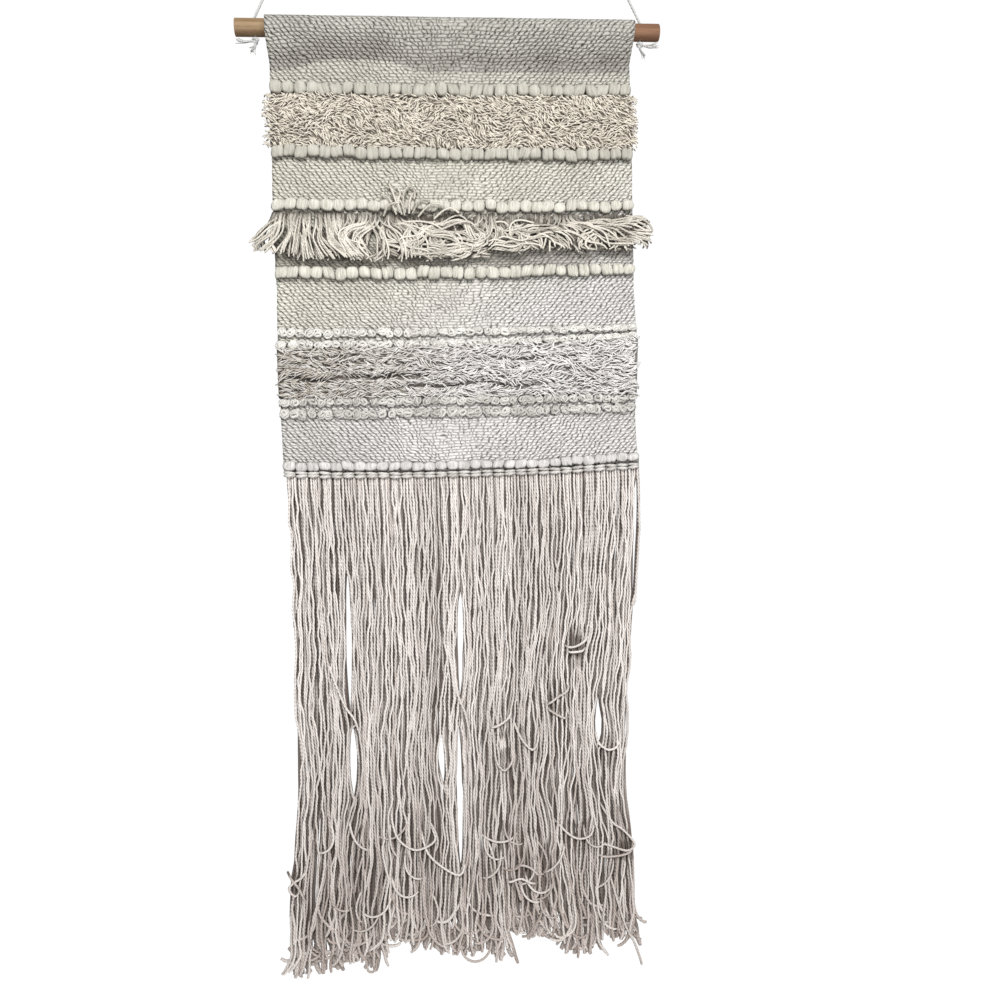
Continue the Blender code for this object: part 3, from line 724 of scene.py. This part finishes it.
# the two lower loop rows take on a darker colour
loop_finish = plied_finish(
    "fine loop cotton", dye(242, 240, 234), dye(182, 178, 171), dye(64, 58, 51), pitch=0.0048, relief=0.0006,
    tint_and_shade=(dye(136, 131, 126), 2, -0.36, -0.39, 0.26),
)
for name, row in LOOP_ROWS.items():
    chance = random.Random(name)
    strands = []
    pitch = ROW_WIDTH / LOOPS
    deep = row[5] - LOOP_YARN
    for number in range(LOOPS):
        side = -1 + (2 * number + 1) / LOOPS
        x = edge_x(CLOTH_EDGES, side, row[1]) + chance.uniform(-0.0016, 0.0016)
        z = row_z(row, side) + chance.uniform(-0.0009, 0.0009)
        half = row_half(row, side) * chance.uniform(0.90, 1.05)
        wide = pitch * chance.uniform(0.54, 0.76)
        tall = half * chance.uniform(0.80, 1.04)
        begin = chance.uniform(0, math.tau)
        way = chance.choice((-1, 1))
        shear = chance.uniform(-0.45, 0.45)
        turns = chance.uniform(1.3, 1.9)
        curl, low = [], []
        for step in range(15):
            part = step / 14
            angle = begin + way * math.tau * turns * part
            reach = 0.92 - 0.70 * part
            right, rise = reach * wide * math.cos(angle), reach * tall * math.sin(angle)
            curl.append((x + right + shear * rise, FRONT - deep * (0.50 + 0.50 * part**0.7), z + rise))
            # painted shade on the curl's outer start, where it lies deep
            low.append(0.30 * (1.0 - part) ** 5)
        strands.append((curl, [CURL_RADIUS * chance.uniform(0.9, 1.12)] * 14 + [0.0012], low))
        # a second yarn laps over the curl
        lap = []
        slant = begin + chance.uniform(-0.5, 0.5)
        bow = chance.uniform(-0.5, 0.5)
        for step in range(9):
            angle = math.pi * (step / 8 - 0.5)
            along, beside = math.sin(angle), bow * math.cos(angle)
            right = along * math.cos(slant) - beside * math.sin(slant)
            rise = along * math.sin(slant) + beside * math.cos(slant)
            y = FRONT - deep * (0.15 + 0.95 * math.cos(angle))
            lap.append((x + right * wide * 0.9, y, z + rise * tall * 0.9))
        # painted shade at the lap's ends, where they dip into the loop
        strands.append((lap, LAP_RADIUS, [0.9, 0.5, 0.1, 0.0, 0.0, 0.0, 0.1, 0.5, 0.9]))
        # the yarns' fat middle closes the loop behind, painted in shade, most of all at its ends
        core = [(x + pitch * (step / 4 - 0.5), FRONT - 0.0010, z) for step in range(5)]
        thick = [half * share for share in (0.40, 0.56, 0.60, 0.56, 0.40)]
        strands.append((core, thick, [0.95, 0.6, 0.5, 0.6, 0.95]))
    piece = spin("fine_" + name, strands, 6, loop_finish)
    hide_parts(name)
    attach(piece, "root")

# ---- Pile bands -----------------------------------------------------------------------------------
# Two bands of cut pile. Thousands of short ends of fine cotton are knotted into the cloth; above they
# curl every way, and below they are longer and brushed sideways into ridges with dark furrows.

PILE_YARN = (0.00062, 0.00084)
PILE_POINTS = 4
PILE_DIP = 0.0042
PILE_CELL = 0.0022
BED_COLUMNS = 90
BED_ROWS = 14
BED_PAINTED_SHADE = 0.72
# height, half width, left end, right end, depth
FURROWS = (
    (-0.3800, 0.0030, -0.195, -0.030, 0.0100), (-0.3900, 0.0026, -0.075, 0.100, 0.0100),
    (-0.3560, 0.0020, -0.200, -0.060, 0.0040), (-0.3640, 0.0022, -0.200, 0.020, 0.0035),
    (-0.3600, 0.0022, 0.020, 0.150, 0.0045), (-0.3760, 0.0024, 0.060, 0.190, 0.0040),
)


def pile_edges(above, below, side):
    """The top and the bottom of the band between two rows."""
    top = row_z(above, side) - row_half(above, side)
    return top, row_z(below, side) + row_half(below, side)


def pile_front(depth, side, share, x, z):
    """How far forward the heap of the pile lies, rounded off at its top and bottom."""
    crown = 0.62 + 0.38 * math.sin(math.pi * unit(share))
    lumps = 0.22 * noise((x / 0.020, z / 0.011, 3.0)) + 0.10 * noise((x / 0.005, z / 0.005, 8.0))
    return FRONT - depth * crown * (0.84 + lumps)


def bury(strands, wide, tall, soak):
    """Adds to each point how far it lies behind the front of the heap round it, from 0 to 1; the finishes
    paint it as shade.
    """
    front = {}
    for points, _ in strands:
        for x, y, z in points:
            spot = (round(x / wide), round(z / tall))
            front[spot] = min(front.get(spot, y), y)
    made = []
    for points, radius in strands:
        buried_shade = []
        for x, y, z in points:
            column, level = round(x / wide), round(z / tall)
            spots = [(column + right, level + up) for right in (-1, 0, 1) for up in (-1, 0, 1)]
            near = [front[spot] for spot in spots if spot in front]
            buried_shade.append(unit((y - sum(near) / len(near)) / soak))
        made.append((points, radius, buried_shade))
    return made


def onward(angle, length):
    """A step in the plane of the cloth, at an angle from the right."""
    return Vector((math.cos(angle), 0.0, math.sin(angle))) * length


def pile_bed(name, above, below, depth, furrow):
    """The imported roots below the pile's ends, a lumpy bed that closes the heap."""
    shape = bmesh.new()
    bmesh.ops.create_grid(shape, x_segments=BED_COLUMNS, y_segments=BED_ROWS, size=1.0)
    for corner in shape.verts:
        side, level, _ = corner.co
        top, bottom = pile_edges(above, below, side)
        share = (level + 1) / 2
        z = bottom - 0.002 + (top - bottom + 0.004) * share
        x = edge_x(CLOTH_EDGES, side, z) + side * 0.0015
        y = FRONT + (pile_front(depth, side, share, x, z) - FRONT) * 0.68 + furrow(x, z) * 0.6
        if abs(side) > 0.999 or abs(level) > 0.999:
            y = FRONT
        corner.co = (x, min(y, FRONT), z)
    return shape


def add_pile(name, node, above, below, depth, count, reach, spread, flow, furrow, soak, finish):
    """Short ends that start in the bed, lie over it the way the flow says, and dip back in.

    reach gives the shortest and the longest end, spread how far the outermost ends stand past the
    cloth's edges, and soak how far behind the heap's front an end lies where its painted shade is full.
    """
    chance = random.Random(name)
    strands = []
    for _ in range(count):
        side = chance.uniform(-1.0, 1.0)
        side = side * (1.0 + spread * max(0.0, abs(side) - 0.94) / 0.06)
        share = chance.uniform(-0.03, 1.03)
        top, bottom = pile_edges(above, below, side)
        z = bottom + (top - bottom) * share
        x = edge_x(CLOTH_EDGES, side, z)
        length = chance.uniform(*reach)
        heading, curl = flow(x, z, chance)
        level = pile_front(depth, side, share, x, z) + furrow(x, z) + chance.uniform(-0.0016, 0.0024)
        points = []
        spot = Vector((x, 0.0, z))
        last = PILE_POINTS - 1
        for step in range(PILE_POINTS):
            part = step / last
            dip = (1.0 - math.sin(math.pi * (0.08 + 0.84 * part))) * PILE_DIP
            points.append((spot.x, min(level + dip, FRONT + 0.0005), spot.z))
            spot += onward(heading + curl * (part - 0.5), length / last)
        middle = Vector(points[PILE_POINTS // 2]) - Vector((x, 0.0, z))
        points = [(px - middle.x, py, pz - middle.z) for px, py, pz in points]
        radius = chance.uniform(*PILE_YARN)
        strands.append((points, [radius] * last + [radius * 0.7]))
    piece = spin(name, bury(strands, PILE_CELL, PILE_CELL, soak), 4, finish)
    shape = pile_bed(name, above, below, depth, furrow)
    # the bed is painted in shade throughout
    deep = shape.verts.layers.float.new("buried_shade")
    for corner in shape.verts:
        corner[deep] = BED_PAINTED_SHADE
    shape.from_mesh(piece.data)
    shape.to_mesh(piece.data)
    shape.free()
    piece.data.shade_smooth()
    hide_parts(node)
    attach(piece, "root")


def curly(x, z, chance):
    """Tufts that point every way, a little alike within a thumb's width."""
    swirl = noise((x / 0.040, z / 0.024, 21.0)) * 2.0 + noise((x / 0.012, z / 0.009, 27.0)) * 0.9 - 0.35
    return swirl + chance.gauss(0.0, 0.36), chance.uniform(-1.0, 1.0)


def brushed(x, z, chance):
    """Longer ends that are brushed sideways, in waves that rise and fall along the band."""
    wave = 0.55 * noise((x / 0.030, z / 0.012, 41.0)) + 0.7 * noise((x / 0.012, z / 0.010, 47.0))
    return math.pi * chance.choice((0, 1)) + 1.5 * wave + chance.gauss(0.0, 0.24), chance.uniform(-1.2, 1.2)


def even(x, z):
    """No furrow anywhere."""
    return 0.0


def furrowed(x, z):
    """Wavy furrows along the lower pile; the deepest one runs across the left half."""
    wander = 0.005 * noise((x / 0.045, 0.0, 60.0)) + 0.0025 * noise((x / 0.017, 0.0, 64.0))
    depth = 0.0048 * max(0.0, noise((x / 0.040, z / 0.0050, 68.0)) - 0.05)
    for middle, width, low, high, deep in FURROWS:
        if low < x < high:
            ends = min(1.0, (x - low) / 0.02, (high - x) / 0.02)
            depth += deep * ends * math.exp(-(((z - middle - wander) / width) ** 2))
    return depth


upper_pile_finish = plied_finish(
    "warm pile cotton", dye(250, 242, 228), dye(190, 181, 165), dye(74, 64, 52), pitch=0.0036
)
# painted shade: the lower pile's left side is painted darker and warmer
lower_pile_finish = plied_finish(
    "brushed pile cotton", dye(255, 253, 251), dye(202, 196, 191), dye(66, 56, 48), pitch=0.0036,
    tint_and_shade=(dye(150, 134, 102), 0, 0.08, -0.21, 0.38),
)
add_pile(
    "upper_pile", "pile_band_1", BOBBLE_ROWS["bobble_row_1"], BOBBLE_ROWS["bobble_row_2"], 0.0115,
    5900, (0.0052, 0.0086), 0.026, curly, even, 0.0037, upper_pile_finish,
)
add_pile(
    "lower_pile", "pile_band_2", LOOP_ROWS["loop_row_2"], LOOP_ROWS["loop_row_3"], 0.0135,
    5800, (0.0070, 0.0120), -0.015, brushed, furrowed, 0.0027, lower_pile_finish,
)

# ---- Tassel row -----------------------------------------------------------------------------------
# Bunches of plied cotton, knotted in side by side under the third bobble row and left about 50 mm
# long. They have sprung out from the cloth and tangled, most of all from the middle to the right.

BUNDLES = 31
TASSEL_YARNS = 22
TASSEL_LENGTH = 0.058
TASSEL_POINTS = 14
TASSEL_YARN = (0.00108, 0.00132)
TASSEL_DROP = 0.0540
SIDE_REACH = (0.2165, 0.2235)
LEFT_REACHES_MORE = 0.0040
STRAY_YARN = 0.00125


def tassel_strand(side, forward, fan, lock, tangle, chance):
    """One yarn: out from its knot, then the way that its lock is swept, and fanned out at its end."""
    row = BOBBLE_ROWS["bobble_row_3"]
    top = row_z(row, side) - row_half(row, side) - 0.0006
    x = edge_x(CLOTH_EDGES, side, top)
    spot = Vector((x, FRONT - 0.0020, top - chance.uniform(0.0, 0.003 + 0.009 * max(0.0, tangle - 0.5))))
    length = TASSEL_LENGTH * chance.uniform(0.88, 1.06) * (1.0 + 0.30 * max(0.0, tangle - 0.3))
    raised = 0.0120 * unit((side - 0.05) / 0.15) + 0.0100 * max(0.0, abs(side) - 0.82) / 0.18
    uneven = 0.0050 * noise((lock * 5.3, 0.0, 33.0)) + chance.gauss(0.0, 0.0012)
    floor = top - TASSEL_DROP + min(raised, 0.0140) + uneven
    widest = chance.uniform(*SIDE_REACH)
    most = 2.2 - 1.0 * side**2
    last = TASSEL_POINTS - 1
    own = chance.uniform(0, 40)
    points = []
    for step in range(TASSEL_POINTS):
        part = step / last
        points.append(spot.copy())
        swirl = noise((lock * 3.7, part * 1.9, 71.0))
        sweep = noise((x / 0.034, 0.4, 91.0))
        jitter = noise((own, part * 3.0, 77.0))
        turned = 3.6 * swirl + 0.8 * jitter + 2.4 * sweep + 0.50
        bent = most * math.tanh(tangle * turned * min(1.0, part * 4.5) / most)
        angle = -math.pi / 2 + bent + 0.35 * side**5 + 0.5 * fan * part
        out = FRONT - 0.0030 - (0.0035 + 0.0095 * forward) * math.sin(math.pi * min(0.62, 0.08 + part * 0.6))
        out += 0.0026 * noise((own, part * 4.0, 83.0))
        spot += onward(angle, length / last)
        spot.y += (out - spot.y) * 0.55
        if step > 3 and (spot.z < floor or spot.x > widest or spot.x < -widest - LEFT_REACHES_MORE):
            break
    thick = chance.uniform(*TASSEL_YARN)
    return points, [thick] * (len(points) - 1) + [thick * 0.7]


chance = random.Random(31)
strands = []
for bundle in range(BUNDLES):
    for yarn in range(TASSEL_YARNS):
        across = chance.uniform(-0.48, 0.48)
        side = -1 + 2 * (bundle + 0.5 + across) / BUNDLES
        tangle = 0.34 + 0.76 * unit((side + 0.72) / 0.5) + 0.15 * noise((side * 6, 0.0, 5.0))
        forward = chance.random()
        lock = bundle * 3 + int(forward * 3)
        strands.append(tassel_strand(side, forward, across, lock, tangle, chance))
# strays that were seen apart from the rest: (x, y, z) in millimetres
STRAYS = (
    ((-62, -11, -200), (-66, -13, -188), (-70, -9, -176), (-73, -6, -168)),
    ((-56, -11, -200), (-58, -13, -186), (-55, -9, -174), (-49, -7, -171), (-45, -9, -177), (-46, -13, -186)),
    ((-52, -11, -201), (-51, -13, -189), (-48, -9, -180), (-42, -7, -175)),
    ((-66, -11, -202), (-71, -13, -190), (-75, -10, -183), (-82, -7, -180)),
    ((-60, -11, -202), (-64, -14, -189), (-61, -9, -179), (-65, -6, -170)),
    ((-57, -11, -203), (-60, -14, -190), (-68, -10, -182), (-69, -7, -174), (-76, -6, -171)),
    ((-48, -8, -200), (-43, -13, -192), (-36, -15, -187), (-28, -14, -189)),
    ((-42, -8, -204), (-34, -13, -196), (-25, -15, -191), (-15, -14, -193)),
    ((-24, -8, -206), (-15, -13, -199), (-6, -15, -196), (3, -14, -201)),
    ((-80, -8, -203), (-76, -13, -195), (-70, -15, -191), (-62, -14, -190)),
    ((-196, -9, -205), (-206, -12, -212), (-216, -13, -222), (-224, -12, -229)),
    ((-194, -9, -209), (-207, -13, -218), (-218, -13, -228), (-227, -12, -231)),
    ((192, -9, -204), (205, -13, -207), (216, -14, -213), (221, -13, -222), (212, -12, -226)),
    ((190, -10, -208), (202, -14, -211), (214, -14, -217), (219, -12, -226), (208, -12, -231)),
    ((188, -10, -212), (203, -14, -216), (215, -13, -223), (217, -12, -232)),
)
for stray in STRAYS:
    corners = [Vector(corner) * 0.001 for corner in stray]
    strands.append((smooth_route(corners, 4), STRAY_YARN))
tassel_finish = plied_finish("tassel cotton", dye(242, 236, 224), dye(150, 143, 130), dye(58, 50, 41))
# painted shade: the tassels are painted darker at their knots, and the strays keep only a quarter of their
# painted shade
shaded = []
for points, radius, buried_shade in bury(strands, 0.0028, 0.0036, 0.0030):
    if len(shaded) < BUNDLES * TASSEL_YARNS:
        buried_shade = [min(1.0, share + 0.6 * max(0.0, 1.0 - place / 4)) for place, share in enumerate(buried_shade)]
    else:
        buried_shade = [share * 0.25 for share in buried_shade]
    shaded.append((points, radius, buried_shade))
tassels = spin("tangled_tassels", shaded, 5, tassel_finish)
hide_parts("tassel_row")
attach(tassels, "root")

# ---- Long fringe ----------------------------------------------------------------------------------
# More than four hundred plied cotton yarns, looped in bunches through the lower edge, where two twined
# strands bind them. They hang in waves that cling together and part, and a few slits open in them.

FRINGE_EDGES = (
    (-0.490, -0.1990, 0.2048), (-0.560, -0.1965, 0.2034), (-0.640, -0.1955, 0.1972),
    (-0.760, -0.1965, 0.1865), (-0.860, -0.2000, 0.1850), (-0.930, -0.2060, 0.1900),
    (-1.010, -0.2130, 0.1905), (-1.090, -0.2190, 0.1985),
)
# x, top, bottom and half width of each slit
SLITS = (
    (0.2000, -0.500, -0.650, 0.0026), (-0.1350, -0.600, -0.760, 0.0034), (-0.1350, -0.780, -0.860, 0.0040),
    (-0.0080, -0.632, -0.748, 0.0034), (-0.0125, -0.785, -0.955, 0.0036), (0.1540, -0.764, -0.818, 0.0042),
    (-0.0320, -0.800, -0.850, 0.0034),
)
# x and height of the fringe's ragged end
TIPS = (
    (-0.221, -1.071), (-0.208, -1.073), (-0.194, -1.069), (-0.176, -1.072), (-0.167, -1.071),
    (-0.162, -1.059), (-0.131, -1.060), (-0.126, -1.050), (-0.118, -1.072), (-0.108, -1.070),
    (-0.104, -1.038), (-0.093, -1.033), (-0.080, -1.041), (-0.065, -1.053), (-0.048, -1.051),
    (-0.040, -1.057), (-0.028, -1.052), (-0.014, -1.060), (0.004, -1.062), (0.016, -1.053),
    (0.026, -1.068), (0.036, -1.074), (0.041, -1.037), (0.052, -1.034), (0.066, -1.043),
    (0.086, -1.046), (0.104, -1.050), (0.110, -1.067), (0.124, -1.069), (0.130, -1.061),
    (0.138, -1.070), (0.147, -1.071), (0.153, -1.061), (0.165, -1.050), (0.178, -1.052),
    (0.188, -1.060), (0.196, -1.066),
)
HEADING_TOP_GAP = 0.0004
HEADING_HEIGHT = 0.0070
FRINGE_YARNS = 12
FRINGE_YARN = (0.00122, 0.00150)
LOOSE_END = 0.040
END_STEP = 0.0052
END_POINTS = 8
RIGHTMOST = 0.2060
LOOP_THICK = 0.00145
CURLS = 34
CURL_STEP = 0.0040
CURL_LIMITS = (-0.2080, 0.1960)
CURL_YARN = (0.00118, 0.00145)
# of each layer: its drift, its points, how much shorter a yarn may be, how much it sways, and how
# far up behind the heading it starts
FRONT_LAYER = (11.0, 96, 0.050, 1.0, 0.0035)
MIDDLE_LAYER = (23.0, 36, 0.020, 0.9, 0.0035)
BACK_LAYER = (37.0, 32, 0.004, 0.35, 0.0125)


def heading_bottom(side):
    """The height of the lower side of the heading that the yarns hang from."""
    return row_z(LOWER_EDGE, side) - HEADING_TOP_GAP - HEADING_HEIGHT


def clinging(x, z, drift):
    """How far yarns at a place drift together, which gathers them and opens dark gaps."""
    top = unit((-0.500 - z) / 0.200)
    loose = unit((-0.540 - z) / 0.170)
    near = 0.0032 * noise((x / 0.0110, z / 0.075, drift)) * (0.15 + 0.85 * top)
    wide = 0.0080 * noise((x / 0.028, z / 0.110, 16.0 + drift * 0.02)) * loose
    return near + wide


def between_slits(x, side, z):
    """Keeps a yarn on its own side of each slit."""
    for middle, high, low, half in SLITS:
        if low < z < high:
            away = 1.0 if edge_x(FRINGE_EDGES, side, (high + low) / 2) > middle else -1.0
            open_by = half * math.sin(math.pi * (high - z) / (high - low)) ** 0.6 + 0.0006
            gap = (x - middle) * away
            if gap < 4 * open_by:
                x = middle + away * (open_by + max(gap, 0.0) * 0.75)
    return x


def fringe_yarn(side, share, tight, depth, layer, chance):
    """One hanging yarn, from the heading down to where its end bends away or hooks up."""
    drift, steps, short, sway, rise = layer
    top = heading_bottom(side) + rise
    drawn = tight * share * (2 / BUNDLES)
    end = between(TIPS, edge_x(FRINGE_EDGES, side, -1.08), 1) + chance.uniform(-0.004, 0.004)
    end += short * chance.random() ** 3
    turning = end + LOOSE_END
    own = chance.uniform(0, 900)
    points = []
    for step in range(steps):
        z = top + (turning - top) * step / (steps - 1)
        fall = top - z
        base = edge_x(FRINGE_EDGES, side - drawn * (1 - min(1.0, fall / 0.18)), z)
        wild = unit((-0.68 - z) / 0.25)
        wave = 0.0028 * noise((own, z / 0.052, 1.0)) + 0.0019 * noise((own, z / 0.019, 4.0))
        wave += 0.0070 * wild * sway * sway * noise((own, z / 0.085, 2.0))
        wave += 0.0010 * noise((own, z / 0.0085, 13.0))
        x = base + (clinging(base, z, drift) + wave) * sway * min(1.0, fall / 0.035)
        y = depth + 0.0018 * noise((own, z / 0.050, 7.0)) + 0.0014 * noise((x / 0.02, z / 0.09, 8.0))
        if rise > HEADING_HEIGHT and fall < rise:
            y = max(y, 0.0030)
        else:
            y *= min(1.0, 0.35 + fall / 0.04)
        left = edge_x(FRINGE_EDGES, -1, z) - 0.001
        right = edge_x(FRINGE_EDGES, 1, z) + 0.001
        points.append((min(max(between_slits(x, side, z), left), right), y, z))
    if chance.random() < 0.16:
        bend = chance.uniform(1.3, 2.6) * chance.choice((-1, 1))
    else:
        bend = chance.gauss(0.0, 0.42)
    spot = Vector(points[-1])
    for step in range(1, END_POINTS + 1):
        angle = -math.pi / 2 + bend * (step / END_POINTS) ** 1.6 + 0.5 * noise((own, step / 3, 11.0))
        spot += onward(angle, END_STEP)
        points.append((min(spot.x, RIGHTMOST), spot.y, spot.z))
    thick = chance.uniform(*FRINGE_YARN) * (2.6 - sway) / 1.6 * (1.08 if sway < 0.5 else 1.0)
    radii = [thick * (1.0 + 0.40 * unit(1.0 - (z - end) / 0.060)) for _, _, z in points]
    return points, radii[:-1] + [thick]


# the fringe takes on a darker, browner colour towards its bottom
fringe_finish = plied_finish(
    "fringe cotton", dye(249, 242, 237), dye(190, 179, 171), dye(104, 91, 83), pitch=0.0046, relief=0.0008,
    tint_and_shade=(dye(142, 122, 111), 2, -0.68, -1.07, 0.42),
)
chance = random.Random(53)
front_yarns, back_yarns = [], []
for bundle in range(BUNDLES):
    tight = chance.uniform(0.01, 0.10)
    for yarn in range(FRINGE_YARNS):
        jitter = chance.uniform(-0.10, 0.10) * (1.0 if yarn < 8 else 0.4)
        share = 2 * ((yarn % 4 + 0.5) / 4) - 1 + jitter
        side = -1 + 2 * (bundle + 0.5 + 0.48 * share) / BUNDLES
        if yarn < 4:
            depth = (-0.0060, -0.0048)[(yarn + bundle) % 2] + chance.uniform(-0.0009, 0.0009)
            front_yarns.append(fringe_yarn(side, share, tight, depth, FRONT_LAYER, chance))
        elif yarn < 8:
            depth = chance.uniform(-0.0026, -0.0006)
            back_yarns.append(fringe_yarn(side, share, tight * 0.7, depth, MIDDLE_LAYER, chance))
        else:
            side = min(side + 1.0 / BUNDLES / 4, 1.0)
            depth = chance.uniform(0.0018, 0.0036)
            back_yarns.append(fringe_yarn(side, share, 0.0, depth, BACK_LAYER, chance))

# loops and strays that hang out of the fringe: (x, z) in millimetres along each
HANGING_LOOPS = (
    ((30, -790), (29, -812), (31, -827), (39, -837), (47, -830), (50, -820), (49, -797)),
    ((52, -780), (57, -794), (64, -806), (73, -814), (79, -806), (82, -790)),
    ((24, -786), (28, -785), (38, -781), (47, -773), (50, -765)),
    ((91, -762), (94, -760), (104, -753), (115, -746), (118, -738)),
    ((92, -766), (95, -769), (110, -778), (116, -780)),
    ((114, -694), (118, -695), (127, -694), (137, -688), (141, -682)),
    ((116, -700), (120, -701), (133, -700), (138, -698)),
    ((-91, -868), (-92, -891), (-85, -912), (-68, -925), (-52, -922), (-43, -914), (-46, -902), (-50, -894)),
    ((-214, -946), (-209, -951), (-202, -961), (-196, -974), (-194, -988)),
    ((-190, -940), (-197, -950), (-206, -955), (-212, -962), (-206, -972), (-198, -968)),
    ((40, -970), (43, -971), (56, -968), (68, -974), (77, -979)),
    ((48, -958), (58, -952), (68, -956), (76, -964), (84, -968)),
    ((150, -880), (166, -907), (177, -915), (188, -927), (192, -936), (183, -942), (165, -937), (152, -934)),
    ((148, -946), (154, -948), (169, -948), (182, -946), (189, -942), (192, -934)),
    ((160, -960), (170, -1000), (180, -1034), (190, -1055), (197, -1075), (201, -1088)),
    ((149, -800), (151, -810), (157, -816), (164, -819), (173, -816), (177, -808)),
    ((-128, -1052), (-126, -1063), (-123, -1068), (-117, -1066), (-115, -1058)),
    ((-18, -1040), (-14, -1056), (-4, -1064), (8, -1063), (17, -1054), (21, -1040)),
    ((-60, -900), (-52, -930), (-30, -952), (-14, -958), (-8, -944)),
    ((96, -900), (112, -916), (126, -924), (140, -920), (146, -908)),
    ((-160, -700), (-152, -722), (-141, -752), (-130, -770), (-124, -800)),
    ((-16, -734), (-10, -752), (-4, -768), (0, -792), (2, -820)),
)
for loop in HANGING_LOOPS:
    corners = []
    for place, (x, z) in enumerate(loop):
        outside = math.sin(math.pi * place / (len(loop) - 1))
        corners.append(Vector((x * 0.001, -0.0010 - 0.0094 * min(1.0, 1.4 * outside), z * 0.001)))
    front_yarns.append((smooth_route(corners, 5), LOOP_THICK))
# slack yarns that curl up in front of the rest, most of them near the ragged end
for curl in range(CURLS):
    spot = Vector((chance.uniform(-0.196, 0.182), 0.0, -1.012 + 0.125 * chance.random() ** 1.4))
    heading = -math.pi / 2 + chance.gauss(0.0, 0.36)
    turning = chance.uniform(0.3, 2.4) * chance.choice((-1, 1))
    corners = []
    for step in range(12):
        out = math.sin(math.pi * step / 11) ** 0.6
        corners.append((spot.x, -0.0030 - 0.0068 * out, spot.z))
        spot += onward(heading + turning * (step / 11) ** 1.4, CURL_STEP)
        spot.x = min(max(spot.x, CURL_LIMITS[0]), CURL_LIMITS[1])
    front_yarns.append((corners, chance.uniform(*CURL_YARN)))

# the painted shade of each yarn fades towards its end, where the fringe is thin
shaded = []
for points, radius, buried_shade in bury(front_yarns + back_yarns, 0.0026, 0.0130, 0.0042):
    end = points[-1][2]
    buried_shade = [share * min(1.0, 0.3 + (z - end) / 0.06) for share, (_, _, z) in zip(buried_shade, points)]
    shaded.append((points, radius, buried_shade))
front_fringe = spin("fringe_front", shaded[:len(front_yarns)], 5, fringe_finish)
back_fringe = spin("fringe_back", shaded[len(front_yarns):], 5, fringe_finish)

# the two twined strands that bind the bunches, dipping between each bunch and the next, painted in shade
# where they dip
binding = []
for level in (0, 1):
    for bundle in range(BUNDLES):
        points, radii, buried_shade = [], [], []
        rise = chance.uniform(-0.0005, 0.0005)
        slope = chance.uniform(-0.0015, 0.0015)
        for step in range(11):
            share = step / 10
            side = -1 + 2 * (bundle + share) / BUNDLES
            reach = math.sin(math.pi * share) ** 0.5
            z = heading_bottom(side) + HEADING_HEIGHT * (0.76 - 0.50 * level) + rise + slope * (share - 0.5)
            points.append((edge_x(CLOTH_EDGES, side, LOWER_EDGE[1]), -0.0006 - 0.0072 * reach, z))
            radii.append(0.0010 + 0.0010 * reach)
            buried_shade.append(1.0 - min(1.0, reach * 1.55))
        binding.append((points, radii, buried_shade))
binding_finish = plied_finish(
    "binding cotton", dye(228, 224, 219), dye(174, 168, 162), dye(68, 60, 53), pitch=0.0052, relief=0.0006
)
back_of_binding = []
for points, radii, buried_shade in binding:
    back_of_binding.append(([(x, -0.2 * y + 0.0030, z) for x, y, z in points], radii, buried_shade))
twining = spin("twined_heading", binding + back_of_binding, 6, binding_finish)
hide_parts("long_fringe")
for piece in (front_fringe, back_fringe, twining):
    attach(piece, "root")

# ---- Room -----------------------------------------------------------------------------------------
# A pale studio: a plain round of floor well below the hanging and out of the picture, one large soft
# light from the upper left, weaker ones from the right and the back, and an even white surround.

FLOOR_RADIUS = 0.75
FLOOR_Z = -1.6

shape = bmesh.new()
sunk = Matrix.Translation((0, 0, FLOOR_Z))
bmesh.ops.create_circle(shape, cap_ends=True, segments=96, radius=FLOOR_RADIUS, matrix=sunk)
floor_mesh = mesh_of(shape, "studio_floor")
floor = placed("studio_floor", floor_mesh)
floor_finish, start, shader = finish_with("pale floor", 0.9, 0.0)
shader.inputs["Base Color"].default_value = (0.85, 0.85, 0.85, 1.0)
floor_mesh.materials.append(floor_finish)

# name, place, size and power in watts; all of them shine at the hanging's middle
LIGHTS = (
    ("key light", (-0.25, -2.8, 1.2), 1.0, 89.0),
    ("side light", (1.7, -2.1, -0.8), 1.4, 27.0),
    ("back light", (0.7, 2.9, 0.8), 1.6, 46.0),
)
for name, place, size, power in LIGHTS:
    lamp = bpy.data.lights.new(name, "AREA")
    lamp.size = size
    lamp.energy = power
    towards = Vector((0.0, 0.0, -0.5)) - Vector(place)
    turned = towards.to_track_quat("-Z", "Y").to_matrix().to_4x4()
    placed(name, lamp).matrix_world = Matrix.Translation(place) @ turned

world = bpy.data.worlds.new("white surround")
world.use_nodes = True
bpy.context.scene.world = world
surround = Value(world.node_tree)
seen = surround.node("LightPath", out=0)
backdrop = world.node_tree.nodes["Background"]
backdrop.inputs["Color"].default_value = (1.0, 1.0, 1.0, 1.0)
world.node_tree.links.new((seen * 0.70 + 0.32).socket, backdrop.inputs["Strength"])
bpy.context.scene.view_settings.view_transform = "Standard"
